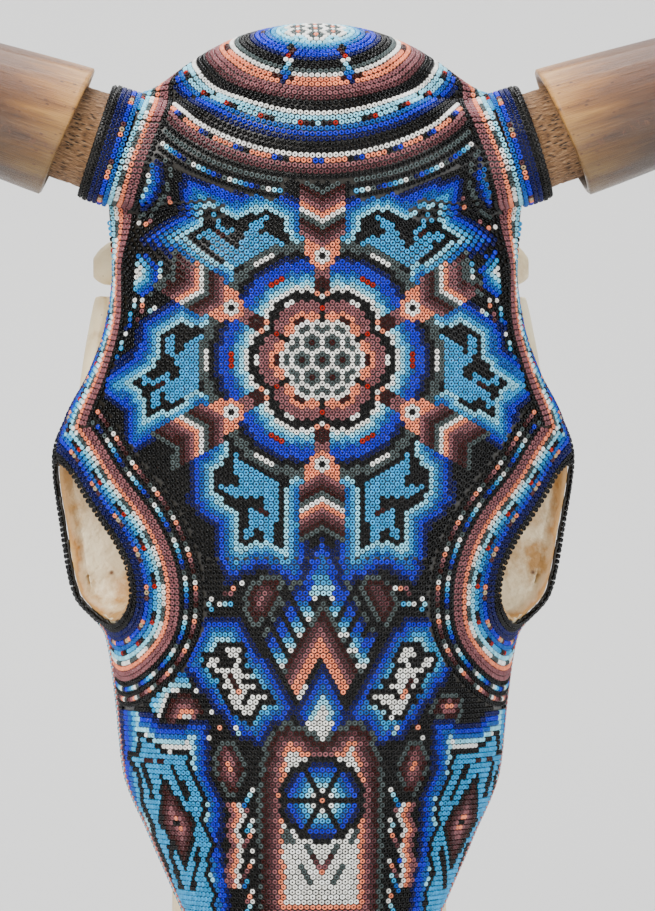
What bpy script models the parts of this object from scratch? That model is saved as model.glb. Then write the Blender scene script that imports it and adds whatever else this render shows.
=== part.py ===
"""Cow skull with a skin of glass seed beads on wax and two horn sheaths that pull off their bone cores.

The skull stands upright, poll up. X runs to the right of somebody who faces it, +Y to the back of the
head and +Z up. Shapes are worked out in millimetres above the muzzle's tip, and world_points moves the
origin to the place inside the foramen magnum's upper edge where a wall hook holds the skull.
"""

import bmesh
import bpy
import numpy as np
from mathutils import Matrix, Vector

MM = 0.001
HOOK = np.array([0.0, 126.0, 392.0])  # the hook's place, above the muzzle's tip

# Layers, measured outward from the face chart.
BONE = (-0.6, -4.2)
CHEEK_BONE = (-0.6, -3.4)
REAR_BONE = (0.6, 4.2)  # the rear chart's normal points into the head
WAX = (0.0, 0.8)
BEADS = (1.15, 2.6)
GAP = 0.35  # between neighbours
SEAM = 0.45  # half of a suture between two plates, in millimetres of the chart

# Horns
HORN_UP = np.radians(18.0)
HORN_BASE = np.array([85.0, 36.0, 391.5])  # axis point at the collar's outer rim
COLLAR_START = -12.0  # along the axis, from the rim
CORE_R = 20.6
CORE_LENGTH = 112.0
NECK_R = 19.3  # the core at the sheath's mouth
CORE_TAPER = 0.13
TENON_R = 14.5
MOUTH = 11.0  # sheath mouth, from the collar's rim
MOUTH_R = 26.4
MOUTH_TILT = np.radians(6.0)
HOLLOW_DEPTH = 112.0
SHEATH_LENGTH = 262.0
SHEATH_CLEARANCE = 0.7
MOUTH_FLARE = 3.6  # how much wider the hollow is at its mouth
FLARE_LENGTH = 30.0
LEAN_LENGTH = 40.0  # over which the mouth's lean dies out
BEND_FROM = 62.0
BEND_POWER = 1.35
BEND_UP, BEND_FORWARD = np.radians(44.0), np.radians(26.0)

# Face stations from the muzzle's tip over the poll: the middle point (y, z), the side edge (x, y, z), the
# direction in which the section arrives at the edge, and its straight runs at the middle and the edge.
FACE = (
    ((66, 4), (24, 76, 2), (0.5, 0.85, -0.1), 8, 8),
    ((60, 20), (36, 76, 20), (0.1, 1, 0), 20, 10),
    ((52, 38), (38, 76, 38), (0, 1, 0), 22, 14),
    ((43, 58), (39, 77, 58), (0, 1, 0), 24, 20),
    ((34, 78), (43, 78, 78), (0, 1, 0), 25, 26),
    ((27, 97), (51, 80, 97), (0, 1, 0), 26, 34),
    ((21, 122), (62, 84, 122), (0, 1, 0), 29, 42),
    ((16, 147), (72, 87, 147), (0, 1, 0), 34, 48),
    ((11, 175), (75, 87, 175), (0, 1, 0), 42, 50),
    ((7, 200), (79, 84, 200), (0, 1, 0), 48, 42),
    ((4, 219), (92, 78, 217), (0.1, 1, 0), 50, 36),
    ((1, 242), (96.5, 71, 241), (0.12, 1, 0), 52, 36),
    ((0, 265), (99.5, 60, 268), (0.05, 1, 0), 56, 33),
    ((-1, 284), (94, 51, 285), (0, 1, 0), 58, 30),
    ((-2, 302), (85, 44, 302), (0, 1, 0), 58, 27),
    ((-2, 321), (78.5, 41, 321), (0, 1, 0), 54, 26),
    ((-3, 341), (76, 42, 341), (0, 1, 0), 50, 26),
)
# Above the waist the edge goes round the front of the horn's base, at an angle about the horn's axis.
HORN_STATIONS = (
    ((-4, 359), -88, 48, 20),
    ((-4, 374), -52, 46, 18),
    ((-3, 388), -12, 44, 16),
    ((0, 400), 32, 40, 16),
    ((6, 412), 84, 36, 16),
)
POLL = (
    ((14, 422), (65.5, 38, 408), (0.92, 0.1, -0.3), 38, 11),
    ((28, 431), (63.5, 41.5, 408.5), (0.85, -0.1, -0.35), 39, 9),
    ((46, 435), (61, 45, 409.3), (0.75, -0.4, -0.3), 38, 9),
    ((67, 433), (58.5, 48, 410.2), (0.6, -0.7, -0.2), 33, 11),
    ((84, 427), (56, 51, 411), (0.44, -0.89, -0.15), 26, 14),
)
POLL_END = len(FACE) + len(HORN_STATIONS) + len(POLL) - 1
WAIST = len(FACE) - 1
HORN_FROM, HORN_TO = len(FACE), len(FACE) + len(HORN_STATIONS) - 1
NASAL_TIP, NASAL_TOP = 4.35, 9.7
NASAL_HALF = 0.27
# Every layer is cut from the same grid, so that its flats lie parallel to its neighbours'.
U_KNOTS = (0.0, 0.13, 0.27, 0.4, 0.5, 0.6, 0.7, 0.8, 0.9, 1.0)
V_KNOTS = (0.0, 0.9, 1.8, 3.0, 4.45, 5.4, 6.6, 7.8, 8.98, 9.7, 10.4, 11.1, 11.8, 12.4, 13.1,
           14.0, 14.9, 15.7, 16.4, 17.1, 17.9, 18.6, 19.4, 20.2, 21.0, 21.8, 22.6, 23.4, 24.2, 25.0, 25.9)

# Rear stations from behind the orbits up to the horns: the middle (y, z), the edge, the direction in which
# the section arrives there, and its runs. Round the horn's back the edge is an angle about its axis.
REAR = (
    ((106, 262), (66, 82, 264), (0.7, -0.7, 0), 22, 20),
    ((114, 286), (83, 62, 288), (0.7, -0.7, 0), 24, 24),
    ((120, 301), (79.5, 55, 302), (0.8, -0.6, 0), 26, 24),
    ((128, 322), (75, 51.5, 321), (0.8, -0.6, 0), 32, 22),
    ((135, 344), (73, 52.5, 340), (0.8, -0.6, 0), 38, 20),
)
REAR_HORN = (
    ((142, 357), -99, (0.9, -0.3, 0.3), 42, 18),
    ((145, 368), -130, (0.9, -0.35, 0.3), 46, 18),
    ((138, 387), 180, (0.9, -0.4, 0.2), 46, 20),
    ((116, 407), 130, (0.6, -0.75, 0.1), 42, 22),
    ((87, 425), 99, (0.35, -0.94, 0), 30, 25),
)

# Tooth row
TEETH = 6
TOOTH_FROM, TOOTH_TO = 104.0, 226.0
TOOTH_X, TOOTH_Y = 44.0, 118.0
TOOTH_WIDTH, TOOTH_HEIGHT = 15.0, 34.0
PALATE_HALF = 34.5
PALATE_Y = 108.0


def clear_scene():
    for obj in list(bpy.data.objects):
        bpy.data.objects.remove(obj)


def collection(name, hidden=False):
    made = bpy.data.collections.new(name)
    made.hide_render = hidden
    bpy.context.scene.collection.children.link(made)
    return made


def material(name, color, roughness, metallic=0.0):
    made = bpy.data.materials.new(name)
    made.use_nodes = True
    shader = made.node_tree.nodes["Principled BSDF"]
    shader.inputs["Base Color"].default_value = (*color, 1.0)
    shader.inputs["Roughness"].default_value = roughness
    shader.inputs["Metallic"].default_value = metallic
    return made


def smooth_rows(rows, at):
    """Each column of rows, read between its rows by a monotone cubic, which never overshoots its values."""
    rows = np.asarray(rows, float)
    step = np.diff(rows, axis=0)
    slope = np.zeros_like(rows)
    product = step[:-1] * step[1:]
    total = step[:-1] + step[1:]
    inner = 2 * product / np.where(np.abs(total) < 1e-9, 1, total)
    slope[1:-1] = np.where(product > 0, inner, 0)
    slope[0], slope[-1] = step[0], step[-1]
    low = np.clip(np.floor(at).astype(int), 0, len(rows) - 2)
    t = (np.asarray(at, float) - low)[..., None]
    return (
        rows[low] * (1 + 2 * t) * (1 - t) ** 2
        + slope[low] * t * (1 - t) ** 2
        + rows[low + 1] * t**2 * (3 - 2 * t)
        + slope[low + 1] * t**2 * (t - 1)
    )


def horn_frame():
    """The horn's axis, and the direction square to it that points up, for the right horn."""
    axis = np.array([np.cos(HORN_UP), 0.0, np.sin(HORN_UP)])
    up = np.array([-np.sin(HORN_UP), 0.0, np.cos(HORN_UP)])
    return axis, up


def horn_ring(angle, radius, along):
    """Points round the horn's axis: angle in degrees from the front, up being 90."""
    axis, up = horn_frame()
    angle = np.radians(np.asarray(angle, float))[..., None]
    front = np.array([0.0, -1.0, 0.0])
    return HORN_BASE + axis * along + radius * (np.cos(angle) * front + np.sin(angle) * up)


def section_controls(middle, edge, direction, run_middle, run_edge):
    """The four control points of one section: a cubic that leaves the middle sideways and meets the edge."""
    direction = np.asarray(direction, float)
    direction = direction / np.linalg.norm(direction)
    start = np.array([0.0, *middle])
    end = np.asarray(edge, float)
    return np.concatenate([start, start + (run_middle, 0, 0), end - direction * run_edge, end])


def face_rows():
    axis, _ = horn_frame()
    rows = [section_controls(*row) for row in FACE]
    for middle, angle, run_middle, run_edge in HORN_STATIONS:
        edge = horn_ring(angle, CORE_R, COLLAR_START)
        rows.append(section_controls(middle, edge, axis, run_middle, run_edge))
    rows += [section_controls(*row) for row in POLL]
    return rows


def rear_rows():
    rows = [section_controls(*row) for row in REAR]
    for middle, angle, direction, run_middle, run_edge in REAR_HORN:
        edge = horn_ring(angle, CORE_R, COLLAR_START)
        rows.append(section_controls(middle, edge, direction, run_middle, run_edge))
    return rows


def bezier(controls, u):
    a, b, c, d = (controls[..., i : i + 3] for i in (0, 3, 6, 9))
    u = np.asarray(u)[..., None]
    return a * (1 - u) ** 3 + 3 * b * u * (1 - u) ** 2 + 3 * c * u**2 * (1 - u) + d * u**3


def on_chart(rows, u, v, offset=0.0):
    """The surface's point at (u, v), moved along its normal. u runs from the middle out, v up the rows."""
    u, v = np.broadcast_arrays(np.asarray(u, float), np.asarray(v, float))
    here = bezier(smooth_rows(rows, v), u)
    if np.ndim(offset) == 0 and offset == 0:
        return here
    small = 0.01
    u0, u1 = np.clip(u - small, 0, 1), np.clip(u + small, 0, 1)
    v0, v1 = np.clip(v - small, 0, len(rows) - 1), np.clip(v + small, 0, len(rows) - 1)
    along_u = bezier(smooth_rows(rows, v), u1) - bezier(smooth_rows(rows, v), u0)
    along_v = bezier(smooth_rows(rows, v1), u) - bezier(smooth_rows(rows, v0), u)
    normal = np.cross(along_u, along_v)
    normal /= np.maximum(np.linalg.norm(normal, axis=-1, keepdims=True), 1e-9)
    return here + normal * np.asarray(offset)[..., None]


def between(knots, low, high):
    """low, the knots well inside, and high."""
    inside = [knot for knot in knots if low + 0.02 < knot < high - 0.02]
    return np.array([low, *inside, high])


def world_points(points):
    return (np.asarray(points, float) - HOOK) * MM


def grid_faces(rows, columns, wrap=False):
    """Quads of a grid whose points are listed row by row."""
    i, j = np.meshgrid(np.arange(rows - 1), np.arange(columns if wrap else columns - 1), indexing="ij")
    k = (j + 1) % columns
    low, high = i * columns, (i + 1) * columns
    return np.stack([low + j, low + k, high + k, high + j], -1).reshape(-1, 4)


def sheet_triangles(rows, columns, middle=0):
    """Triangles of a grid. The quads left of the middle column are split along the other diagonal, so that
    the two halves mirror each other."""
    quads = grid_faces(rows, columns)
    left = np.tile(np.arange(columns - 1) < middle, rows - 1)
    a, b, c, d = quads.T
    one = np.where(left[:, None], np.stack([a, b, d], -1), np.stack([a, b, c], -1))
    two = np.where(left[:, None], np.stack([b, c, d], -1), np.stack([a, c, d], -1))
    return np.concatenate([one, two])


def mesh_object(name, points, faces, group, surface, smooth=True):
    mesh = bpy.data.meshes.new(name)
    mesh.from_pydata(world_points(points).tolist(), [], [list(map(int, face)) for face in faces])
    mesh.validate()
    obj = bpy.data.objects.new(name, mesh)
    group.objects.link(obj)
    mesh.materials.append(surface)
    if smooth:
        mesh.shade_smooth()
        mesh.set_sharp_from_angle(angle=np.radians(40))
    return obj


def face_outward(obj):
    form = bmesh.new()
    form.from_mesh(obj.data)
    bmesh.ops.recalc_face_normals(form, faces=form.faces)
    form.to_mesh(obj.data)
    form.free()


def plate(name, side, rows, us, vs, offsets, group, surface):
    """A closed plate between two offsets of a chart. Side 1 is the right, -1 the left, 0 both, mirrored.
    us is one row of u values, or one for each v."""
    us, vs = np.asarray(us, float), np.asarray(vs, float)
    u = np.broadcast_to(us, (len(vs), us.shape[-1])) if us.ndim == 1 else us
    v = np.broadcast_to(vs[:, None], u.shape)
    layers = [on_chart(rows, u, v, offset) for offset in offsets]
    if side:
        return closed_layers(name, side, layers, group, surface)
    layers = [np.concatenate([mirrored(layer, -1)[:, :0:-1], layer], axis=1) for layer in layers]
    return closed_layers(name, 1, layers, group, surface, middle=u.shape[1] - 1)


def tube_rings(name, rings, group, surface, smooth=True):
    """A closed solid through a list of rings, with a flat cap on the first and the last."""
    rings = np.asarray(rings, float)
    count, around = rings.shape[:2]
    sides = grid_faces(count, around, wrap=True)
    faces = [list(face) for face in sides]
    faces.append(list(range(around))[::-1])
    faces.append([(count - 1) * around + k for k in range(around)])
    obj = mesh_object(name, rings.reshape(-1, 3), faces, group, surface, smooth)
    face_outward(obj)
    return obj


def mirrored(points, side):
    return np.asarray(points, float) * np.array([side, 1.0, 1.0])


def cut(obj, cutter, operation="DIFFERENCE"):
    modifier = obj.modifiers.new(operation.title(), "BOOLEAN")
    modifier.operation = operation
    modifier.solver = "EXACT"
    modifier.object = cutter


def hide_as_cutter(obj):
    obj.hide_render = True
    obj.display_type = "WIRE"


# The eye socket's opening on the face chart, as (u, v): down its front rim from the upper corner, then up
# the rear rim.
EYE = (
    (0.915, 11.92), (0.8, 11.80), (0.729, 11.43), (0.672, 11.10), (0.625, 10.80),
    (0.588, 10.41), (0.586, 10.00), (0.625, 9.70), (0.71, 9.43), (0.8, 9.35),
    (0.88, 9.51), (0.925, 9.90), (0.935, 10.45), (0.94, 11.05), (0.95, 11.65),
)
U_MM, V_MM = 100.0, 22.0  # about how many millimetres one unit of u and of v cover beside the eye
SOCKET_END = np.array([34.0, 74.0, 236.0])  # where the orbit's funnel ends, on the right
FUNNEL = (1.0, 0.8, 0.58, 0.36, 0.2)  # the funnel's rings, as shares of the way out from its end
FUNNEL_BULGE = 0.25
FUNNEL_WALL = 1.6


def eye_outline(grow=0.0, count=26):
    """The opening as (u, v), through its points by a closed smooth curve and widened by grow millimetres."""
    points = np.array(EYE) * (U_MM, V_MM)
    at = np.linspace(0, len(points), count, endpoint=False)
    low, t = np.floor(at).astype(int), (at % 1)[:, None]
    a, b, c, d = (points[(low + k) % len(points)] for k in (-1, 0, 1, 2))
    square, cube = 2 * a - 5 * b + 4 * c - d, 3 * b - a - 3 * c + d
    curve = 0.5 * (2 * b + (c - a) * t + square * t**2 + cube * t**3)
    along = np.roll(curve, -1, axis=0) - np.roll(curve, 1, axis=0)
    out = np.stack([-along[:, 1], along[:, 0]], -1) / np.linalg.norm(along, axis=1, keepdims=True)
    curve = (curve - out * grow) / (U_MM, V_MM)
    return curve[:, 0], curve[:, 1]


def eye_cutter(name, side, grow, depths, group, surface):
    rows = face_rows()
    u, v = eye_outline(grow)
    rings = [mirrored(on_chart(rows, u, v, depth), side) for depth in depths]
    obj = tube_rings(name, rings, group, surface, smooth=False)
    hide_as_cutter(obj)
    return obj


def nasal_edge(vs):
    """Half width of the nasal bones in u: narrow at the tip, widest at two thirds, pointed at the brow."""
    share = np.clip((np.asarray(vs, float) - NASAL_TIP) / (NASAL_TOP - NASAL_TIP), 0, 1)
    return NASAL_HALF * (0.72 + 0.28 * np.sin(np.pi * share)) + 0.06 * (1 - share)


def make_frontal(side, name, group, cutters, bone):
    rows = face_rows()
    vs = between(V_KNOTS, NASAL_TOP + 0.03, POLL_END)
    us = between(U_KNOTS, 0.004, 0.985)
    obj = plate(name, side, rows, us, vs, BONE, group, bone)
    cut(obj, cutters[side])
    return obj


def make_nasal(side, name, group, bone):
    vs = between(V_KNOTS, NASAL_TIP, NASAL_TOP - 0.03)
    edge = nasal_edge(vs) - SEAM / 100
    us = edge[:, None] * np.linspace(0.012, 1, 4)
    return plate(name, side, face_rows(), us, vs, BONE, group, bone)


def make_maxilla(side, name, group, cutters, bone):
    """The cheek plate: the face chart out to its edge, then round the side and in to the tooth sockets."""
    rows = face_rows()
    vs = between(V_KNOTS, NASAL_TIP + 0.12, NASAL_TOP - 0.06)
    start = nasal_edge(vs) + SEAM / 100
    ends = np.array([knot for knot in U_KNOTS if knot > 0.35])
    share = (ends - ends[0]) / (1 - ends[0])
    u = start[:, None] + (0.999 - start[:, None]) * share
    v = np.broadcast_to(vs[:, None], u.shape)
    layers = []
    for offset in CHEEK_BONE:
        front = on_chart(rows, u, v, offset)
        edge = front[:, -1]
        socket = np.stack([
            np.full(len(vs), TOOTH_X + TOOTH_WIDTH / 2 + GAP - CHEEK_BONE[1] + offset),
            np.full(len(vs), TOOTH_Y - 2.0) + 0 * vs,
            edge[:, 2],
        ], -1)
        reach = np.clip((socket[:, 1] - edge[:, 1]) * 0.55, 4, None)[:, None]
        controls = np.concatenate([
            edge, edge + reach * (0, 1, 0), socket - reach * (0, 1, 0), socket,
        ], -1)
        side_wall = bezier(controls[:, None, :], np.broadcast_to([0.25, 0.5, 0.75, 1.0], (len(vs), 4)))
        layers.append(np.concatenate([front, side_wall], axis=1))
    obj = closed_layers(name, side, layers, group, bone)
    cut(obj, cutters[side])
    return obj


def closed_layers(name, side, layers, group, surface, middle=0):
    """A closed solid between two grids of points of the same size, mirrored to its side."""
    layers = [mirrored(layer, side) for layer in layers]
    count_v, count_u = layers[0].shape[:2]
    sheet = sheet_triangles(count_v, count_u, middle)
    size = count_v * count_u
    rim = np.concatenate([
        np.arange(count_u),
        np.arange(1, count_v) * count_u + count_u - 1,
        (count_v - 1) * count_u + np.arange(count_u - 2, -1, -1),
        np.arange(count_v - 2, 0, -1) * count_u,
    ])
    after = np.roll(rim, -1)
    low, high = np.stack([rim, rim + size, after], -1), np.stack([after, rim + size, after + size], -1)
    wall = np.concatenate([low, high])
    faces = np.concatenate([sheet, sheet[:, ::-1] + size, wall])
    points = np.concatenate([layer.reshape(-1, 3) for layer in layers])
    obj = mesh_object(name, points, faces, group, surface)
    face_outward(obj)
    return obj


def make_incisive(side, name, group, bone):
    """The muzzle bone beside the nose's opening, from its tip up to the cheek."""
    vs = between(V_KNOTS, 0.0, NASAL_TIP + 0.02)
    inner = np.interp(vs, [0, 0.8, 2, NASAL_TIP], [0.05, 0.2, 0.5, 0.52])
    us = inner[:, None] + (0.997 - inner[:, None]) * np.linspace(0, 1, 6)
    return plate(name, side, face_rows(), us, vs, (BONE[0], BONE[1] - 1), group, bone)


def funnel_ring(rim, share):
    """The rim drawn in towards the socket's end, fuller halfway than a straight cone."""
    return SOCKET_END + (rim - SOCKET_END) * share * (1 + FUNNEL_BULGE * np.sin(np.pi * share))


def make_lacrimal(side, name, group, bone):
    """The orbit's lining: a funnel from under the opening's rim to a small hole deep in the head."""
    rows = face_rows()
    under = BONE[1] - 3 * GAP
    rim_outer = on_chart(rows, *eye_outline(2.0), under)
    rim_inner = on_chart(rows, *eye_outline(0.2), under)
    rings = [funnel_ring(rim_inner, share) for share in FUNNEL]
    for share in FUNNEL[::-1]:
        ring = funnel_ring(rim_outer, share)
        out = (ring - SOCKET_END) / np.linalg.norm(ring - SOCKET_END, axis=-1, keepdims=True)
        rings.append(ring + (0 if share == 1 else FUNNEL_WALL) * out)
    profile = np.array(rings)
    count, around = profile.shape[:2]
    closed = grid_faces(count + 1, around, wrap=True) % (count * around)
    obj = mesh_object(name, mirrored(profile.reshape(-1, 3), side), closed, group, bone)
    face_outward(obj)
    return obj


# The cheek arch's cross sections from below: the middle, and half the width across and from front to back.
ARCH = (
    ((85.0, 91, 217), 4.0, 5.5),
    ((89.0, 90, 232), 4.4, 7.5),
    ((89.5, 86, 252), 4.2, 7.5),
    ((89.5, 83, 272), 4.2, 7.5),
    ((88.0, 84, 292), 4.0, 7.0),
    ((85.0, 89, 312), 4.4, 7.0),
    ((80.0, 95, 333), 5.5, 8.0),
)


def make_zygomatic(side, name, group, bone):
    """The cheek arch: a flattened bar from behind the orbit's lower rim up to the temporal bone."""
    middles = np.array([row[0] for row in ARCH], float)
    sizes = np.array([row[1:] for row in ARCH], float)
    at = np.linspace(0, len(ARCH) - 1, 11)
    path, size = smooth_rows(middles, at), smooth_rows(sizes, at)
    turn = np.linspace(0, 2 * np.pi, 12, endpoint=False)
    rings = [
        mirrored(p + np.stack([s[0] * np.cos(turn), s[1] * np.sin(turn), 0 * turn], -1), side)
        for p, s in zip(path, size)
    ]
    return tube_rings(name, rings, group, bone)


def make_temporal(side, name, group, hidden, bone):
    """The braincase's side wall, joined to the knob of the ear and the arch's root."""
    rows = rear_rows()
    vs = np.linspace(0.0, 6.2, 10)
    us = np.linspace(0.42, 0.955, 8)
    wall = plate(name, side, rows, us, vs, REAR_BONE, group, bone)
    knob = tube_rings(name + "_knob", ear_knob(side), hidden, bone)
    hide_as_cutter(knob)
    cut(wall, knob, "UNION")
    return wall


# The ear's knob from inside the braincase's wall outward: the middle, and half its depth and height.
EAR_KNOB = (
    ((46, 88, 352), 9, 12),
    ((62, 88, 350), 9, 11),
    ((74, 89, 347), 8, 10),
    ((82, 90, 345), 6.5, 8.5),
    ((86, 90, 344), 3, 4),
)


def ear_knob(side):
    """The arch's root and the ear's knob, as rings from inside the braincase's wall out to the side."""
    turn = np.linspace(0, 2 * np.pi, 12, endpoint=False)
    rings = []
    for middle, deep, tall in EAR_KNOB:
        ring = np.stack([0 * turn, deep * np.cos(turn), tall * np.sin(turn)], -1)
        rings.append(mirrored(np.array(middle, float) + ring, side))
    return rings


CONDYLE = np.array([24.0, 142.0, 374.0])
CONDYLE_RADII = (11.0, 14.0, 19.0)
FORAMEN = (0.0, 138.0, 382.0)
FORAMEN_R = 17.0


def make_occipital(name, group, hidden, foramen, bone):
    """The plate between poll and skull base, with the foramen magnum between two condyles."""
    rows = rear_rows()
    vs = np.array([5.0, 5.4, 5.8, 6.2, 6.4, 6.9, 7.4, 7.9, 8.4, len(rows) - 1])
    reach = np.where(vs < 6.3, 0.4, 0.94)  # between the temporal plates, then out to the horns' bases
    us = reach[:, None] * np.linspace(0, 1, 7)
    upper = plate(name, 0, rows, us, vs, REAR_BONE, group, bone)
    for side in (-1, 1):
        bpy.ops.mesh.primitive_uv_sphere_add(segments=16, ring_count=10)
        condyle = bpy.context.object
        condyle.name = f"condyle_{'left' if side < 0 else 'right'}"
        for owner in list(condyle.users_collection):
            owner.objects.unlink(condyle)
        hidden.objects.link(condyle)
        place = Vector(world_points(mirrored(CONDYLE, side)))
        shape = Matrix.LocRotScale(place, None, Vector(CONDYLE_RADII) * MM)
        condyle.data.transform(shape)
        hide_as_cutter(condyle)
        cut(upper, condyle, "UNION")
    cut(upper, foramen)
    return upper


WING_SPAN = (229.0, 258.0)
WING_FRONT, WING_BACK = (76.0, 82.0), (112.0, 100.0)  # y at the lower and the upper end
WING_X, WING_BOW, WING_THICK = 20.0, 2.5, 2.4


def make_pterygoid(side, name, group, bone):
    """The thin wing that joins the palate's rear end to the skull base."""
    low, high = WING_SPAN
    vs = np.linspace(low, high, 4)
    depth = np.linspace(0, 1, 5)
    front = np.interp(vs, WING_SPAN, WING_FRONT)[:, None]
    back = np.interp(vs, WING_SPAN, WING_BACK)[:, None]
    layers = []
    for out in (WING_THICK / 2, -WING_THICK / 2):
        y = front + (back - front) * depth
        x = WING_X + out + WING_BOW * np.sin(np.pi * depth) + 0 * y
        layers.append(np.stack([x, y, np.broadcast_to(vs[:, None], x.shape)], -1))
    return closed_layers(name, side, layers, group, bone)


def make_sphenoid(name, group, bone):
    """The skull base: a strip along the middle below the foramen magnum."""
    us, vs = np.linspace(0.0, 0.4, 5), np.linspace(0.0, 4.95, 8)
    return plate(name, 0, rear_rows(), us, vs, REAR_BONE, group, bone)


def core_radius(along):
    """The core's radius at a distance past the sheath's mouth."""
    return NECK_R - CORE_TAPER * along


def horn_core_rings(side):
    """The bone core: a tenon inside the head, the collar's seat, a bare neck and a taper to a round tip."""
    seat = COLLAR_START + GAP
    profile = [(COLLAR_START - 8, TENON_R), (seat, TENON_R), (seat, CORE_R - 0.8), (0.0, CORE_R - 0.6)]
    for along in np.linspace(0, CORE_LENGTH - 8, 6):
        profile.append((MOUTH + along, core_radius(along)))
    tip = core_radius(CORE_LENGTH - 8)
    profile += [(MOUTH + CORE_LENGTH - 3, tip * 0.7), (MOUTH + CORE_LENGTH, tip * 0.25)]
    angle = np.linspace(-180, 180, 24, endpoint=False)
    return [mirrored(horn_ring(angle, radius, along), side) for along, radius in profile]


def sheath_path(along):
    """The sheath's middle line from its mouth: straight over the core, then bending up and to the front."""
    fine = np.linspace(0, SHEATH_LENGTH, 400)
    bend = np.clip((fine - BEND_FROM) / (SHEATH_LENGTH - BEND_FROM), 0, 1) ** BEND_POWER
    rise, forward = HORN_UP + BEND_UP * bend, BEND_FORWARD * bend
    flat = np.cos(forward)
    heading = np.stack([np.cos(rise) * flat, -np.sin(forward), np.sin(rise) * flat], -1)
    middles = (heading[1:] + heading[:-1]) / 2 * (fine[1] - fine[0])
    steps = np.concatenate([np.zeros((1, 3)), np.cumsum(middles, axis=0)])
    axis, _ = horn_frame()
    start = HORN_BASE + axis * MOUTH
    place = np.stack([np.interp(along, fine, steps[:, k]) for k in range(3)], -1) + start
    way = np.stack([np.interp(along, fine, heading[:, k]) for k in range(3)], -1)
    return place, way / np.linalg.norm(way, axis=-1, keepdims=True)


def sheath_radius(along):
    share = np.asarray(along, float) / SHEATH_LENGTH
    return MOUTH_R * (1 - share**1.25) ** 0.85 * (1 - 0.10 * share) + 2.2 * share


def make_sheath(side, name, group, horn):
    """The horny sheath: outer rings from the tip to the mouth, then the hollow's rings in from the mouth."""
    _, up = horn_frame()
    turn = np.linspace(0, 2 * np.pi, 24, endpoint=False)
    front = np.array([0.0, -1.0, 0.0])
    rings = []
    for along in (0, 8, 24, 46, 72, 100, 130, 160, 188, 214, 236, 252, SHEATH_LENGTH):
        place, way = sheath_path(along)
        square_up = up - way * np.dot(up, way)
        square_up /= np.linalg.norm(square_up)
        square_front = np.cross(square_up, way)
        square_front *= np.sign(np.dot(square_front, front))
        radius = sheath_radius(along)
        ring = place + radius * (np.cos(turn)[:, None] * square_front + np.sin(turn)[:, None] * square_up)
        lean = np.tan(MOUTH_TILT) * np.clip(1 - along / LEAN_LENGTH, 0, 1)
        rings.append(ring - way * (np.sin(turn) * radius * lean)[:, None])
    outer = rings[::-1]
    inner = []
    axis, _ = horn_frame()
    for along in (0, 9, 30, 60, 90, HOLLOW_DEPTH + 3):
        flare = MOUTH_FLARE * max(1 - along / FLARE_LENGTH, 0)
        radius = core_radius(min(along, HOLLOW_DEPTH)) + SHEATH_CLEARANCE + flare
        ring = horn_ring(np.degrees(turn), radius, MOUTH + along)
        lean = np.tan(MOUTH_TILT) * np.clip(1 - along / LEAN_LENGTH, 0, 1)
        inner.append(ring - axis * (np.sin(turn) * radius * lean)[:, None])
    return tube_rings(name, [mirrored(ring, side) for ring in outer + inner], group, horn)


def collar_ring(name, side, layer, starts, group, surface):
    """A closed ring round the core between two radii, from the head to the collar's rim."""
    low, high = layer
    angle = np.linspace(-180, 180, 24, endpoint=False)
    begin, end = starts
    profile = [(begin, CORE_R + low), (end, CORE_R + low), (end, CORE_R + high), (begin, CORE_R + high)]
    rings = np.array([mirrored(horn_ring(angle, radius, along), side) for along, radius in profile])
    closed = grid_faces(5, len(angle), wrap=True) % (4 * len(angle))
    obj = mesh_object(name, rings.reshape(-1, 3), closed, group, surface)
    face_outward(obj)
    return obj


def make_tooth(side, index, group, enamel):
    """One cheek tooth: a block with a bevelled crown whose cusp points to the back of the head."""
    length = (TOOTH_TO - TOOTH_FROM) / TEETH
    bpy.ops.mesh.primitive_cube_add(size=1)
    tooth = bpy.context.object
    for owner in list(tooth.users_collection):
        owner.objects.unlink(tooth)
    group.objects.link(tooth)
    tooth.name = f"cheek_tooth_{'left' if side < 0 else 'right'}_{index + 1}"
    tooth.data.name = tooth.name
    size = Vector((TOOTH_WIDTH * MM, TOOTH_HEIGHT * MM, (length - 2 * GAP) * MM))
    middle = np.array([side * TOOTH_X, TOOTH_Y, TOOTH_FROM + length * (index + 0.5)])
    tooth.data.transform(Matrix.Diagonal((*size, 1)))
    tooth.location = world_points(middle)
    rounding = tooth.modifiers.new("Rounded", "BEVEL")
    rounding.width = 2.4 * MM
    rounding.segments = 2
    tooth.data.materials.append(enamel)
    return tooth


def make_palate(name, group, bone):
    """The hard palate: an arched plate between the tooth rows, from the muzzle to the rear of the teeth."""
    vs = np.linspace(24, 228, 8)
    half = np.interp(vs, [24, 60, 96, 104, 228], [26, 30, 34, PALATE_HALF, PALATE_HALF - 4])
    across = np.linspace(-1, 1, 9)
    layers = []
    for deep in (0.0, -4.0):
        x = half[:, None] * across
        y = PALATE_Y - 9 * (1 - across**2) + deep + 0 * vs[:, None]
        rise = np.interp(vs, [24, 90], [-26, 0])[:, None]
        layers.append(np.stack([x, y + rise, np.broadcast_to(vs[:, None], x.shape)], -1))
    return closed_layers(name, 1, layers, group, bone)


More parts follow.
